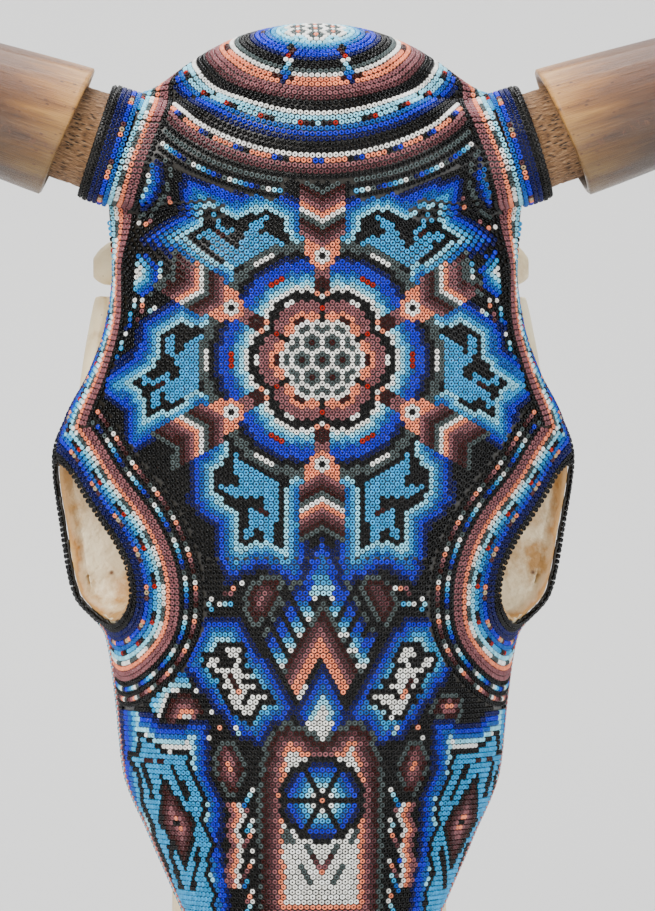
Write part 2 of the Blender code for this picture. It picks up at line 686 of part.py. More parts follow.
def make_vomer(name, group, bone):
    """The blade of bone that parts the nose along the middle."""
    outline = [(56, 72), (82, 82), (92, 102), (92, 220), (30, 220), (28, 160), (38, 110), (48, 84)]
    curve = bpy.data.curves.new(name, "CURVE")
    curve.dimensions = "2D"
    curve.fill_mode = "BOTH"
    curve.extrude = 0.9 * MM
    spline = curve.splines.new("POLY")
    spline.points.add(len(outline) - 1)
    for point, (y, z) in zip(spline.points, outline):
        point.co = ((y - HOOK[1]) * MM, (z - HOOK[2]) * MM, 0, 1)
    spline.use_cyclic_u = True
    curve.materials.append(bone)
    obj = bpy.data.objects.new(name, curve)
    # The outline's first axis is the skull's Y, its second the skull's Z
    obj.matrix_world = Matrix(((0, 0, 1, 0), (1, 0, 0, 0), (0, 1, 0, 0), (0, 0, 0, 1)))
    group.objects.link(obj)
    return obj


def make_foramen(group, surface):
    bpy.ops.mesh.primitive_cylinder_add(vertices=24, radius=FORAMEN_R * MM, depth=60 * MM)
    hole = bpy.context.object
    hole.name = "foramen_cutter"
    for owner in list(hole.users_collection):
        owner.objects.unlink(hole)
    group.objects.link(hole)
    hole.data.materials.append(surface)
    hole.location = world_points(FORAMEN)
    hole.rotation_euler = (np.radians(-50), 0, 0)
    hide_as_cutter(hole)
    return hole


# Regions on the face chart: name, first and last row, inner and outer u, and 1 where each side has its own.
WAX_REGIONS = (
    ("upper", 13.12, 25.9, 0.0, 0.99, 0),
    ("lower", 4.47, 13.08, 0.0, 0.99, 0),
    ("muzzle", 0.9, 4.43, 0.56, 0.99, 1),
)
BEAD_REGIONS = (
    ("dome", 17.92, 25.9, 0.0, 0.70, 0),
    ("forehead", 13.12, 17.88, 0.0, 0.70, 0),
    ("brow", 9.0, 13.08, 0.0, 0.40, 0),
    ("nose", 4.47, 8.96, 0.0, 0.40, 0),
    ("cheek", 4.47, 8.96, 0.406, 0.99, 1),
    ("eye", 9.0, 13.08, 0.406, 0.99, 1),
    ("temple", 13.12, 25.0, 0.706, 0.99, 1),
    ("muzzle", 0.9, 4.43, 0.56, 0.99, 1),
)


def make_skin(kind, regions, offsets, group, cutters, surface):
    rows = face_rows()
    for name, low, high, inner, outer, sided in regions:
        vs, us = between(V_KNOTS, low, high), between(U_KNOTS, inner, outer)
        for side in (-1, 1) if sided else (0,):
            label = {-1: "_left", 0: "", 1: "_right"}[side]
            obj = plate(f"{kind}_{name}{label}", side, rows, us, vs, offsets, group, surface)
            for eye in {"eye": (side,), "lower": (-1, 1)}.get(name, ()):
                cut(obj, cutters[eye])
    for side, label in ((-1, "left"), (1, "right")):
        collar_ring(f"{kind}_collar_{label}", side, offsets, (COLLAR_START + 2.2, 0.0), group, surface)


def main():
    clear_scene()
    skull = collection("beaded_skull")
    hidden = collection("cutters", hidden=True)
    bone = material("bone", (0.80, 0.72, 0.56), 0.55)
    enamel = material("enamel", (0.86, 0.80, 0.66), 0.3)
    horn = material("horn", (0.62, 0.47, 0.33), 0.35)
    wax = material("wax", (0.25, 0.18, 0.07), 0.5)
    beads = material("beads", (0.03, 0.10, 0.35), 0.15)

    bone_cut, skin_cut = {}, {}
    for side in (-1, 1):
        bone_cut[side] = eye_cutter(f"eye_bone_{side}", side, 0.0, (12, -12), hidden, bone)
        skin_cut[side] = eye_cutter(f"eye_skin_{side}", side, 1.2, (12, -6), hidden, wax)
    foramen = make_foramen(hidden, bone)

    for side, label in ((-1, "left"), (1, "right")):
        make_frontal(side, f"frontal_{label}", skull, bone_cut, bone)
        make_nasal(side, f"nasal_{label}", skull, bone)
        make_maxilla(side, f"maxilla_{label}", skull, bone_cut, bone)
        make_incisive(side, f"incisive_{label}", skull, bone)
        make_lacrimal(side, f"lacrimal_{label}", skull, bone)
        make_zygomatic(side, f"zygomatic_{label}", skull, bone)
        make_pterygoid(side, f"pterygoid_{label}", skull, bone)
        make_temporal(side, f"temporal_{label}", skull, hidden, bone)
        tube_rings(f"horn_core_{label}", horn_core_rings(side), skull, bone)
        make_sheath(side, f"horn_sheath_{label}", skull, horn)
        for index in range(TEETH):
            make_tooth(side, index, skull, enamel)
    make_occipital("occipital", skull, hidden, foramen, bone)
    make_sphenoid("sphenoid", skull, bone)
    make_palate("palate", skull, bone)
    make_vomer("vomer", skull, bone)
    make_skin("wax", WAX_REGIONS, WAX, skull, skin_cut, wax)
    make_skin("beads", BEAD_REGIONS, BEADS, skull, skin_cut, beads)


main()
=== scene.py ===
"""The looks of a cow skull covered with glass seed beads set in wax.

Shapes are worked out in millimetres above the muzzle's tip, as X to the right, Y to the back and Z up, and
to_world moves them to the hook inside the head that the whole skull hangs from.
"""

import bmesh
import bpy
import numpy as np
from bpy.props import FloatProperty, FloatVectorProperty, PointerProperty
from bpy.types import Operator, Panel, PropertyGroup
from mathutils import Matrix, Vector


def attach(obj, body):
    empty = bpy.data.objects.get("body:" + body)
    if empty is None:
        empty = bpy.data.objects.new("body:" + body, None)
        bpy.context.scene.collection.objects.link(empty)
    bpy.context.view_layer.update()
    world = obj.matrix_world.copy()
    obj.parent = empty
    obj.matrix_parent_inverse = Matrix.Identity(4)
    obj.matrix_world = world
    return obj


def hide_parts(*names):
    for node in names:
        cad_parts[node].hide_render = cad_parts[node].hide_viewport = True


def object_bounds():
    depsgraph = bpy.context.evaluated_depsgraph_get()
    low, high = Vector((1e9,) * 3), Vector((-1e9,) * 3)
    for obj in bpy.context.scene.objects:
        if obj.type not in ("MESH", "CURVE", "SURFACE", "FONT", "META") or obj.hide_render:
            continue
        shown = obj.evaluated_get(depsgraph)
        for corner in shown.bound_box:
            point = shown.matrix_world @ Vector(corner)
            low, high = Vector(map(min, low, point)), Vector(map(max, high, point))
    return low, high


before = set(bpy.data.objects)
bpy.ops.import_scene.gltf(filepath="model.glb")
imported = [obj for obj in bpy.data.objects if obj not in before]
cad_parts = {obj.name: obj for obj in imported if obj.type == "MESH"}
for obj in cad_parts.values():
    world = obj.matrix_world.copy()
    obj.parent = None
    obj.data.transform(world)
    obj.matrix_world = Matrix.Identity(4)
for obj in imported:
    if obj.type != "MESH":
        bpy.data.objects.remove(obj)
CAD_BOX = [list(map(float, corner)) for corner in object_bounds()]

bl_info = {
    "name": "Beaded Skull",
    "version": (1, 0, 0),
    "blender": (4, 5, 0),
    "location": "View3D > Sidebar > Beaded Skull",
    "description": "Builds the beadwork, bones and horns of a beaded cow skull over its packed CAD model",
    "category": "Add Mesh",
}

MM = 0.001
HOOK = np.array([0.0, 126.0, 392.0])

# Layers, measured outward from the face chart, in millimetres
BEAD_LAYER = 1.9
WAX_LAYER = 1.35

# Horns
HORN_UP = np.radians(18.0)
HORN_BASE = np.array([85.0, 36.0, 391.5])
COLLAR_START = -12.0
CORE_R = 20.6
MOUTH = 11.0
MOUTH_R = 26.4
MOUTH_TILT = np.radians(6.0)
SHEATH_LENGTH = 262.0

# Stations of the face from the muzzle's tip over the poll: the middle (y, z), the edge (x, y, z), the
# direction of the section at the edge, and how far it runs straight at the middle and at the edge.
FACE = (
    ((66, 4), (24, 76, 2), (0.5, 0.85, -0.1), 8, 8),
    ((60, 20), (36, 76, 20), (0.1, 1, 0), 20, 10),
    ((52, 38), (38, 76, 38), (0, 1, 0), 22, 14),
    ((43, 58), (39, 77, 58), (0, 1, 0), 24, 20),
    ((34, 78), (43, 78, 78), (0, 1, 0), 25, 26),
    ((27, 97), (51, 80, 97), (0, 1, 0), 26, 34),
    ((21, 122), (62, 84, 122), (0, 1, 0), 29, 42),
    ((16, 147), (72, 87, 147), (0, 1, 0), 34, 48),
    ((11, 175), (75, 87, 175), (0, 1, 0), 42, 50),
    ((7, 200), (79, 84, 200), (0, 1, 0), 48, 42),
    ((4, 219), (92, 78, 217), (0.1, 1, 0), 50, 36),
    ((1, 242), (96.5, 71, 241), (0.12, 1, 0), 52, 36),
    ((0, 265), (99.5, 60, 268), (0.05, 1, 0), 56, 33),
    ((-1, 284), (94, 51, 285), (0, 1, 0), 58, 30),
    ((-2, 302), (85, 44, 302), (0, 1, 0), 58, 27),
    ((-2, 321), (78.5, 41, 321), (0, 1, 0), 54, 26),
    ((-3, 341), (76, 42, 341), (0, 1, 0), 50, 26),
)
# Round the horn's base the edge is an angle about the horn's axis, measured from the front.
HORN_STATIONS = (
    ((-4, 359), -88, 48, 20),
    ((-4, 374), -52, 46, 18),
    ((-3, 388), -12, 44, 16),
    ((0, 400), 32, 40, 16),
    ((6, 412), 84, 36, 16),
)
POLL = (
    ((14, 422), (65.5, 38, 408), (0.92, 0.1, -0.3), 38, 11),
    ((28, 431), (63.5, 41.5, 408.5), (0.85, -0.1, -0.35), 39, 9),
    ((46, 435), (61, 45, 409.3), (0.75, -0.4, -0.3), 38, 9),
    ((67, 433), (58.5, 48, 410.2), (0.6, -0.7, -0.2), 33, 11),
    ((84, 427), (56, 51, 411), (0.44, -0.89, -0.15), 26, 14),
)
# The eye socket's opening as (u, v): down the front rim from the upper corner, up the rear rim
EYE = (
    (0.915, 11.92), (0.8, 11.80), (0.729, 11.43), (0.672, 11.10), (0.625, 10.80),
    (0.588, 10.41), (0.586, 10.00), (0.625, 9.70), (0.71, 9.43), (0.8, 9.35),
    (0.88, 9.51), (0.925, 9.90), (0.935, 10.45), (0.94, 11.05), (0.95, 11.65),
)
U_MM, V_MM = 100.0, 22.0
EDGE_U = 0.985

# Beadwork
PITCH = 2.2  # between beads of one row
ROW = 2.02  # between rows
NEST = PITCH * 0.866  # between rows whose beads lie in each other's gaps
COLLAR_ROWS = 6
ON_COLLAR = 12.8  # how much of the border lies on the collar
ROSETTE = np.array([1.5, 306.3])  # the rosette's middle, as (x, z) seen from the front
SEAM_Z = 232.0  # upright bead columns above, level rows below
COLLAR_BEADS = 64  # in one row
FLOWER = (0.0, 23.28)  # the dome flower's middle, as (u, v)


# ---------------------------------------------------------------- the skull's surfaces


def smooth_rows(rows, at):
    """Each column of rows read between its rows by a monotone cubic: the slope at a row is the harmonic
    mean of the steps on its two sides, or nothing where they differ in sign."""
    step = np.diff(rows, axis=0)
    slope = np.zeros_like(rows)
    product, total = step[:-1] * step[1:], step[:-1] + step[1:]
    slope[1:-1] = np.where(product > 0, 2 * product / np.where(np.abs(total) < 1e-9, 1, total), 0)
    slope[0], slope[-1] = step[0], step[-1]
    low = np.clip(np.floor(at).astype(int), 0, len(rows) - 2)
    t = (np.asarray(at, float) - low)[..., None]
    return (
        rows[low] * (1 + 2 * t) * (1 - t) ** 2
        + slope[low] * t * (1 - t) ** 2
        + rows[low + 1] * t**2 * (3 - 2 * t)
        + slope[low + 1] * t**2 * (t - 1)
    )


def horn_frame():
    """The right horn's axis and the direction square to it that points up."""
    return np.array([np.cos(HORN_UP), 0.0, np.sin(HORN_UP)]), np.array([-np.sin(HORN_UP), 0.0,
                                                                        np.cos(HORN_UP)])


def horn_ring(angle, radius, along):
    """Points round the right horn's axis: base + axis times along + radius times (cos of the angle to the
    front, sin of the angle up), the angle in radians."""
    axis, up = horn_frame()
    angle, radius, along = (np.asarray(value, float)[..., None] for value in (angle, radius, along))
    return HORN_BASE + axis * along + radius * (np.cos(angle) * np.array([0.0, -1.0,
                                                                          0.0]) + np.sin(angle) * up)


def section_controls(middle, edge, direction, run_middle, run_edge):
    """A section's four control points: it leaves the middle sideways and meets the edge along its
    direction."""
    direction = np.asarray(direction, float) / np.linalg.norm(direction)
    start, end = np.array([0.0, *middle]), np.asarray(edge, float)
    return np.concatenate([start, start + (run_middle, 0, 0), end - direction * run_edge, end])


def chart_rows():
    """The control points of every section, from the muzzle's tip over the poll."""
    axis, _ = horn_frame()
    rows = [section_controls(*row) for row in FACE]
    for middle, angle, run_middle, run_edge in HORN_STATIONS:
        edge = horn_ring(np.radians(angle), CORE_R, COLLAR_START)
        rows.append(section_controls(middle, edge, axis, run_middle, run_edge))
    return np.array(rows + [section_controls(*row) for row in POLL])


FACE_ROWS = chart_rows()


def bezier(controls, u):
    """The cubic curve through four control points, which are weighted by the binomial terms of u."""
    a, b, c, d = (controls[..., i : i + 3] for i in (0, 3, 6, 9))
    u = np.asarray(u, float)[..., None]
    return a * (1 - u) ** 3 + 3 * b * u * (1 - u) ** 2 + 3 * c * u**2 * (1 - u) + d * u**3


def chart_point(u, v):
    """The chart's point: the section of row v, read by a smooth curve between the rows, at |u|, mirrored
    where u is negative."""
    u, v = np.broadcast_arrays(np.asarray(u, float), np.asarray(v, float))
    point = bezier(smooth_rows(FACE_ROWS, np.clip(v, 0, len(FACE_ROWS) - 1)), np.abs(u))
    return point * np.stack([np.where(u < 0, -1.0, 1.0), np.ones_like(u), np.ones_like(u)], -1)


def chart_frame(u, v):
    """The chart's point, its outward normal, and how far it moves for a unit of u and of v."""
    h = 0.004
    along_u = (chart_point(u + h, v) - chart_point(u - h, v)) / (2 * h)
    top = len(FACE_ROWS) - 1
    v0, v1 = np.clip(v - h, 0, top), np.clip(v + h, 0, top)
    along_v = (chart_point(u, v1) - chart_point(u, v0)) / (v1 - v0)[..., None]
    normal = np.cross(along_u, along_v)
    normal /= np.maximum(np.linalg.norm(normal, axis=-1, keepdims=True), 1e-9)
    return chart_point(u, v), normal, along_u, along_v


def chart_step(along_u, along_v, shift):
    """The change of (u, v) that moves a point by the part of shift that lies in the surface."""
    uu, uv, vv = (np.sum(a * b, -1) for a, b in ((along_u, along_u), (along_u, along_v), (along_v, along_v)))
    su, sv = np.sum(along_u * shift, -1), np.sum(along_v * shift, -1)
    det = np.maximum(uu * vv - uv * uv, 1e-6)
    return (vv * su - uv * sv) / det, (uu * sv - uv * su) / det


def eye_outline(grow=0.0, count=26):
    """The opening as (u, v): a closed Catmull-Rom curve through its points, widened by grow millimetres."""
    points = np.array(EYE) * (U_MM, V_MM)
    at = np.linspace(0, len(points), count, endpoint=False)
    low, t = np.floor(at).astype(int), (at % 1)[:, None]
    a, b, c, d = (points[(low + k) % len(points)] for k in (-1, 0, 1, 2))
    curve = 0.5 * (2 * b + (c - a) * t + (2 * a - 5 * b + 4 * c - d) * t**2 + (3 * b - a - 3 * c + d) * t**3)
    along = np.roll(curve, -1, axis=0) - np.roll(curve, 1, axis=0)
    out = np.stack([-along[:, 1], along[:, 0]], -1) / np.linalg.norm(along, axis=1, keepdims=True)
    curve = (curve - out * grow) / (U_MM, V_MM)
    return curve[:, 0], curve[:, 1]


def in_polygon(points, corners):
    """Whether each point lies inside the polygon: a ray from it crosses the outline an odd number of
    times."""
    x, y = points[..., 0, None], points[..., 1, None]
    a = np.asarray(corners, float)
    b = np.roll(a, -1, axis=0)
    crosses = (a[:, 1] > y) != (b[:, 1] > y)
    at = a[:, 0] + (y - a[:, 1]) * (b[:, 0] - a[:, 0]) / np.where(a[:, 1] == b[:, 1], 1e-9, b[:, 1] - a[:, 1])
    return (np.sum(crosses & (x < at), axis=-1) % 2).astype(bool)


def path_distance(points, path, closed=False):
    """How far each point is from a line of straight stretches."""
    a = np.asarray(path, float)
    b = np.roll(a, -1, axis=0) if closed else a[1:]
    a = a if closed else a[:-1]
    way = b - a
    t = np.clip(np.sum((points[..., None, :] - a) * way, -1) / np.maximum(np.sum(way * way, -1), 1e-9), 0, 1)
    return np.min(np.linalg.norm(points[..., None, :] - (a + t[..., None] * way), axis=-1), axis=-1)


# ---------------------------------------------------------------- where the beads lie


def travel(u, v, heading, reach, stride):
    """Straight walks over the face from many starts: each step goes along the heading, which is then laid
    back into the surface. Returns the (u, v) of every step."""
    steps = int(np.ceil(reach / stride)) + 1
    trail = np.zeros((steps, len(u), 2))
    for index in range(steps):
        trail[index] = np.stack([u, v], -1)
        _, normal, along_u, along_v = chart_frame(u, v)
        heading = heading - normal * np.sum(heading * normal, -1, keepdims=True)
        heading /= np.maximum(np.linalg.norm(heading, axis=-1, keepdims=True), 1e-9)
        du, dv = chart_step(along_u, along_v, heading * stride)
        u, v = np.clip(u + np.clip(du, -0.2, 0.2), -1, 1), np.clip(v + np.clip(dv, -0.3, 0.3), 0,
                                                                   len(FACE_ROWS) - 1)
    return trail


def strung(u, v, good, phase, closed=False):
    """Beads at even distances along one row: each unbroken run of its points is measured and divided by the
    pitch. Returns their (u, v) and their number along the row."""
    if closed:
        u, v, good = np.append(u, u[0]), np.append(v, v[0]), np.append(good, good[0])
    place = chart_point(u, v)
    step = np.linalg.norm(np.diff(place, axis=0), axis=1)
    length = np.concatenate([[0.0], np.cumsum(step)])
    pitch = length[-1] / max(round(length[-1] / PITCH), 1) if closed else PITCH
    number = np.arange(int((length[-1] + 1e-6) / pitch) + (0 if closed else 1))
    at = (number + phase) * pitch
    number, at = number[at < length[-1]], at[at < length[-1]]
    fits = np.interp(at, length, good.astype(float)) > 0.99
    return np.interp(at, length, u)[fits], np.interp(at, length, v)[fits], number[fits]


def rim_path():
    """The rim that the striped border follows on the right: down the poll's and the collar's edge, the
    waist, the eye's front rim and its lower end. Returns (u, v) and how much of the border lies on the
    collar instead."""
    v_edge = np.linspace(25.9, 12.55, 420)
    eye_u, eye_v = eye_outline(1.0, 150)
    eye_u, eye_v = eye_u[:104], eye_v[:104]
    u = np.concatenate([np.full(len(v_edge), EDGE_U + 0.005), eye_u])
    v = np.concatenate([v_edge, eye_v])
    place = chart_point(u, v)
    length = np.concatenate([[0.0], np.cumsum(np.linalg.norm(np.diff(place, axis=0), axis=1))])
    even = np.linspace(0, length[-1], int(length[-1] / 0.9))
    u, v = np.interp(even, length, u), np.interp(even, length, v)
    for _ in range(6):
        u[1:-1], v[1:-1] = (u[:-2] + 2 * u[1:-1] + u[2:]) / 4, (v[:-2] + 2 * v[1:-1] + v[2:]) / 4
    share = np.interp(v, [12, 15.2, 17.0, 19.0, 20.5, 25.2, 26], [0, 0.5, 1.15, 1.15, 1, 1, 0.7])
    return u, v, share * ON_COLLAR


def inward(u, v):
    """The direction in the surface square to the rim, towards the face."""
    place, normal, _, _ = chart_frame(u, v)
    along = np.gradient(place, axis=0)
    for _ in range(8):
        along[1:-1] = (along[:-2] + 2 * along[1:-1] + along[2:]) / 4
    return np.cross(along, normal)


class Beads:
    """Bead places on the right half of the face, with their colour, row and number, first come first kept."""

    def __init__(self):
        self.u, self.v, self.colour, self.group = [], [], [], []

    def add(self, u, v, colour, group):
        self.u.append(np.asarray(u, float))
        self.v.append(np.asarray(v, float))
        self.colour.append(np.broadcast_to(np.asarray(colour, int), np.shape(u)).copy())
        self.group.append(np.full(np.shape(u), group))

    def arrays(self):
        return (np.concatenate(part) for part in (self.u, self.v, self.colour, self.group))


NAMES = "black navy cobalt blue turquoise light white peach mauve plum maroon red grey tan".split()
(BLACK, NAVY, COBALT, BLUE, TURQUOISE, LIGHT, WHITE,
 PEACH, MAUVE, PLUM, MAROON, RED, GREY, TAN) = range(len(NAMES))
FIELD = 99  # coloured by the motif that it lies in

COOL_DASH = (WHITE, LIGHT, TURQUOISE, BLUE, COBALT, NAVY, GREY)
WARM_DASH = (WHITE, PEACH, MAUVE, PLUM, MAROON, GREY)
BORDER = (
    (BLACK,), (BLACK,), (NAVY,), (NAVY,),
    (PEACH, TAN, PLUM, COBALT, COBALT, COBALT, COBALT),
    (BLUE,),
    (BLACK, MAROON, RED, TURQUOISE, TURQUOISE, TURQUOISE, TURQUOISE),
    (LIGHT,),
    (GREY, GREY, GREY, WHITE, WHITE, WHITE, WHITE),
    (PEACH,), (MAUVE,), (MAUVE,), (BLACK,),
)
DOME = {
    7: (LIGHT,), 8: (TURQUOISE,), 9: (BLUE,), 10: (COBALT,) * 9 + (MAROON,) * 2, 11: (COBALT,), 12: (NAVY,),
    13: (BLACK,), 14: (BLACK,), 15: (GREY,), 16: (WHITE,), 17: (PEACH,) * 12 + (MAROON,) * 4, 18: (PEACH,),
    19: (MAUVE,), 20: (MAUVE,), 21: (PLUM,), 22: (BLACK,), 23: (BLACK,), 24: (WHITE,), 25: (LIGHT,),
    26: (BLACK, MAROON, RED, LIGHT, LIGHT, LIGHT, LIGHT), 27: (BLUE,), 28: (COBALT,), 29: (NAVY,),
    30: (BLACK,),
    31: (BLACK,), 32: (WHITE,), 33: (BLACK, NAVY, COBALT, PEACH, PEACH, PEACH, PEACH), 34: (MAUVE,),
    35: (PLUM,),
    36: (BLACK,), 37: (GREY,), 38: (BLACK,), 39: COOL_DASH[::-1], 40: (BLACK,),
}


# A short graded line that crosses the dome's rings on each side of the middle
RADIAL = (BLACK, BLACK, BLACK, MAROON, RED, WHITE, LIGHT, TURQUOISE, BLUE, COBALT, NAVY)


def border_rows(beads):
    """The striped border: rows at even distances from the rim, less what the collar already holds."""
    u, v, on_collar = rim_path()
    stride = ROW / 4
    trail = travel(u, v, inward(u, v), 17.5 * ROW, stride)
    rows = list(BORDER) + [None, (BLACK,), None, (BLACK,)]
    for row, pattern in enumerate(rows):
        depth = (row + 0.5) * ROW - on_collar
        low = np.clip(np.floor(depth / stride).astype(int), 0, len(trail) - 2)
        t = np.clip(depth / stride - low, 0, 1)[:, None]
        index = np.arange(len(u))
        place = trail[low, index] * (1 - t) + trail[low + 1, index] * t
        good = (depth >= 0) & (place[:, 0] > 0.03) & (place[:, 0] < EDGE_U + 0.01) & (place[:, 1] < 25.85)
        if pattern is None:
            good &= (v < 13.6) | (place[:, 1] < 13.0)
            pattern = COOL_DASH if row == len(BORDER) else WARM_DASH
        elif row >= len(BORDER):
            good &= v < 13.6
        bu, bv, number = strung(place[:, 0], place[:, 1], good, 0.5 * (row % 2))
        beads.add(bu, bv, np.array(pattern)[number % len(pattern)], 1)


def dome_rings(beads):
    """Rings round the dome's flower at even distances from its middle."""
    count = 360
    turn = np.linspace(-np.pi / 2, np.pi / 2, count)
    u, v = np.full(count, FLOWER[0]), np.full(count, FLOWER[1])
    _, normal, along_u, _ = chart_frame(u, v)
    side = along_u / np.linalg.norm(along_u, axis=1, keepdims=True)
    front = np.cross(side, normal)
    front *= np.sign(-front[:, 1:2])
    heading = np.cos(turn)[:, None] * side + np.sin(turn)[:, None] * front
    trail = travel(u, v, heading, 41.5 * ROW, ROW / 4)
    for ring, pattern in DOME.items():
        place = trail[ring * 4]
        good = (place[:, 0] < EDGE_U) & (place[:, 1] < 25.85) & (place[:, 0] > -0.01)
        if ring > 36:
            good &= chart_point(place[:, 0], place[:, 1])[:, 0] > 13
        bu, bv, number = strung(place[::-1, 0], place[::-1, 1], good[::-1], 0.5 * (ring % 2))
        tone = np.array(pattern)[(number + ring // 2) % len(pattern)]
        if 8 < ring < 8 + len(RADIAL):
            tone = np.where(np.abs(chart_point(bu, bv)[:, 0] - 9.5 - (ring - 9) * 0.35) < 1.25,
                            RADIAL[ring - 8], tone)
        beads.add(bu, bv, tone, 2)
    reach = np.linspace(-7, 7, 15)
    i, j = np.meshgrid(reach, reach)
    local = np.stack([(i + j / 2) * PITCH, j * NEST], -1).reshape(-1, 2)
    local = local[(np.hypot(*local.T) < 6.6 * ROW) & (local[:, 0] > -0.1)]
    angle, far = np.arctan2(local[:, 1], local[:, 0]), np.hypot(*local.T)
    at_turn = np.interp(angle, turn, np.arange(count))
    at_far = far / (ROW / 4)
    a, b = np.round(at_turn).astype(int), np.floor(at_far).astype(int)
    place = trail[b, a] + (trail[b + 1, a] - trail[b, a]) * (at_far - b)[:, None]
    cells = np.array([(0, 0)] + [(4 * NEST * np.cos(t),
                                  4 * NEST * np.sin(t)) for t in np.pi / 6 + np.arange(6) * np.pi / 3])
    off = np.min(np.linalg.norm(local[:, None] - cells, axis=-1), axis=1)
    colour = np.select([off < 0.6, off < 2.6, off < 4.7], [PEACH, GREY, WHITE], LIGHT)
    beads.add(place[:, 0], place[:, 1], colour, 2)


def arc_tables():
    """Arc length from the middle at fine rows of v and steps of u, and along the middle line at fine v."""
    v = np.linspace(0, len(FACE_ROWS) - 1, 521)
    u = np.linspace(0, 1, 241)
    place = chart_point(u[None, :], v[:, None])
    across = np.concatenate([np.zeros((len(v), 1)),
                             np.cumsum(np.linalg.norm(np.diff(place, axis=1), axis=-1), axis=1)], 1)
    along = np.concatenate([[0.0], np.cumsum(np.linalg.norm(np.diff(place[:, 0], axis=0), axis=-1))])
    reach = np.arange(0, 190, 0.5)
    inverse = np.array([np.interp(reach, row, u, right=2.0) for row in across])
    return v, along, reach, inverse, place[:, 0, 2]


def laid_flat(s, t, tables):
    """The (u, v) of a point s across and t along the flattened face."""
    v_fine, along, reach, inverse, _ = tables
    v = np.interp(t, along, v_fine)
    i = np.clip(v / v_fine[1], 0, len(v_fine) - 1.001)
    j = np.clip(np.abs(s) / reach[1], 0, len(reach) - 1.001)
    i0, j0 = i.astype(int), j.astype(int)
    fi, fj = i - i0, j - j0
    u = (inverse[i0, j0] * (1 - fi) * (1 - fj) + inverse[i0 + 1, j0] * fi * (1 - fj)
         + inverse[i0, j0 + 1] * (1 - fi) * fj + inverse[i0 + 1, j0 + 1] * fi * fj)
    return np.where(s < 0, -u, u), v


def field_beads(beads):
    """The field: beads nested in upright columns on the forehead and in level rows below it."""
    tables = arc_tables()
    _, along, _, _, height = tables
    def t_of(z):
        return np.interp(z, height, along)
    t0, split, low, high = t_of(ROSETTE[1]), t_of(SEAM_Z), t_of(24.0), along[-1]
    i, j = np.meshgrid(np.arange(-90, 91), np.arange(-60, 110), indexing="ij")
    s, t = ROSETTE[0] + i * NEST, t0 + (j + 0.5 * (i % 2)) * PITCH
    keep = (t > split - 0.9) & (t < high)
    i, j = np.meshgrid(np.arange(-80, 81), np.arange(-40, 160), indexing="ij")
    t2 = t_of(138.2) + (j - 60) * ROW
    s2 = 2.1 + (i + 0.5 * (j % 2)) * PITCH
    keep2 = (t2 <= split - 1.0) & (t2 > low)
    s, t = np.concatenate([s[keep], s2[keep2]]), np.concatenate([t[keep], t2[keep2]])
    u, v = laid_flat(s, t, tables)
    good = (np.abs(u) < EDGE_U) & (v > 0.95) & (v < 25.8) & ~((v < 4.43) & (np.abs(u) < 0.58))
    beads.add(u[good], v[good], FIELD, 3)
    i, j = np.meshgrid(np.arange(-130, 131), np.arange(0, 400), indexing="ij")
    u, v = laid_flat((i + 0.5 * (j % 2)) * 1.25, j * 1.1 + low, tables)
    good = (np.abs(u) < EDGE_U) & (v > 0.95) & (v < 25.85) & ~((v < 4.43) & (np.abs(u) < 0.58))
    beads.add(u[good], v[good], FIELD, 4)


def near_pairs(points, reach):
    """Every pair of points closer than reach, found by sorting the points into cubes of that size and
    comparing each cube with its neighbours."""
    cell = np.floor(points / reach).astype(np.int64) + 500
    key = (cell[:, 0] * 2000 + cell[:, 1]) * 2000 + cell[:, 2]
    order = np.argsort(key, kind="stable")
    ranked = key[order]
    firsts, seconds = [], []
    for shift in [(x * 2000 + y) * 2000 + z for x in (-1, 0, 1) for y in (-1, 0, 1) for z in (-1, 0, 1)]:
        start, stop = np.searchsorted(ranked, key + shift), np.searchsorted(ranked, key + shift, side="right")
        count = stop - start
        first = np.repeat(np.arange(len(points)), count)
        inside = np.arange(count.sum()) - np.repeat(np.cumsum(count) - count, count)
        second = order[np.repeat(start, count) + inside]
        close = (first < second) & (np.linalg.norm(points[first] - points[second], axis=1) < reach)
        firsts.append(first[close])
        seconds.append(second[close])
    return np.concatenate(firsts), np.concatenate(seconds)


def thinned(points, reach, group):
    """Which points stay when none may lie closer than reach to an earlier one that stays."""
    first, second = near_pairs(points, reach)
    # beads of one lattice never crowd each other by more than their spacing's own tolerance
    gap = np.linalg.norm(points[first] - points[second], axis=1)
    same = (group[first] == group[second]) & (group[first] < 4)
    fill = (group[first] == 4) | (group[second] == 4)
    real = gap < np.where(same, 0.80 * PITCH, np.where(fill, 0.95 * reach, reach))
    first, second = first[real], second[real]
    state = np.zeros(len(points), int)  # 0 open, 1 stays, 2 goes
    while np.any(state == 0):
        blocked = np.zeros(len(points), bool)
        live = state[first] != 2
        blocked[second[live]] = True
        state[(state == 0) & ~blocked] = 1
        state[second[(state[first] == 1) & (state[second] == 0)]] = 2
    return state == 1


def mirrored_set(u, v, colour, group):
    """Both halves: the beads of the border and the dome are copied to the left."""
    twin = (group < 3) & (np.abs(u) > 0.004)
    return (np.concatenate([u, -u[twin]]), np.concatenate([v, v[twin]]),
            np.concatenate([colour, colour[twin]]), np.concatenate([group, group[twin]]))


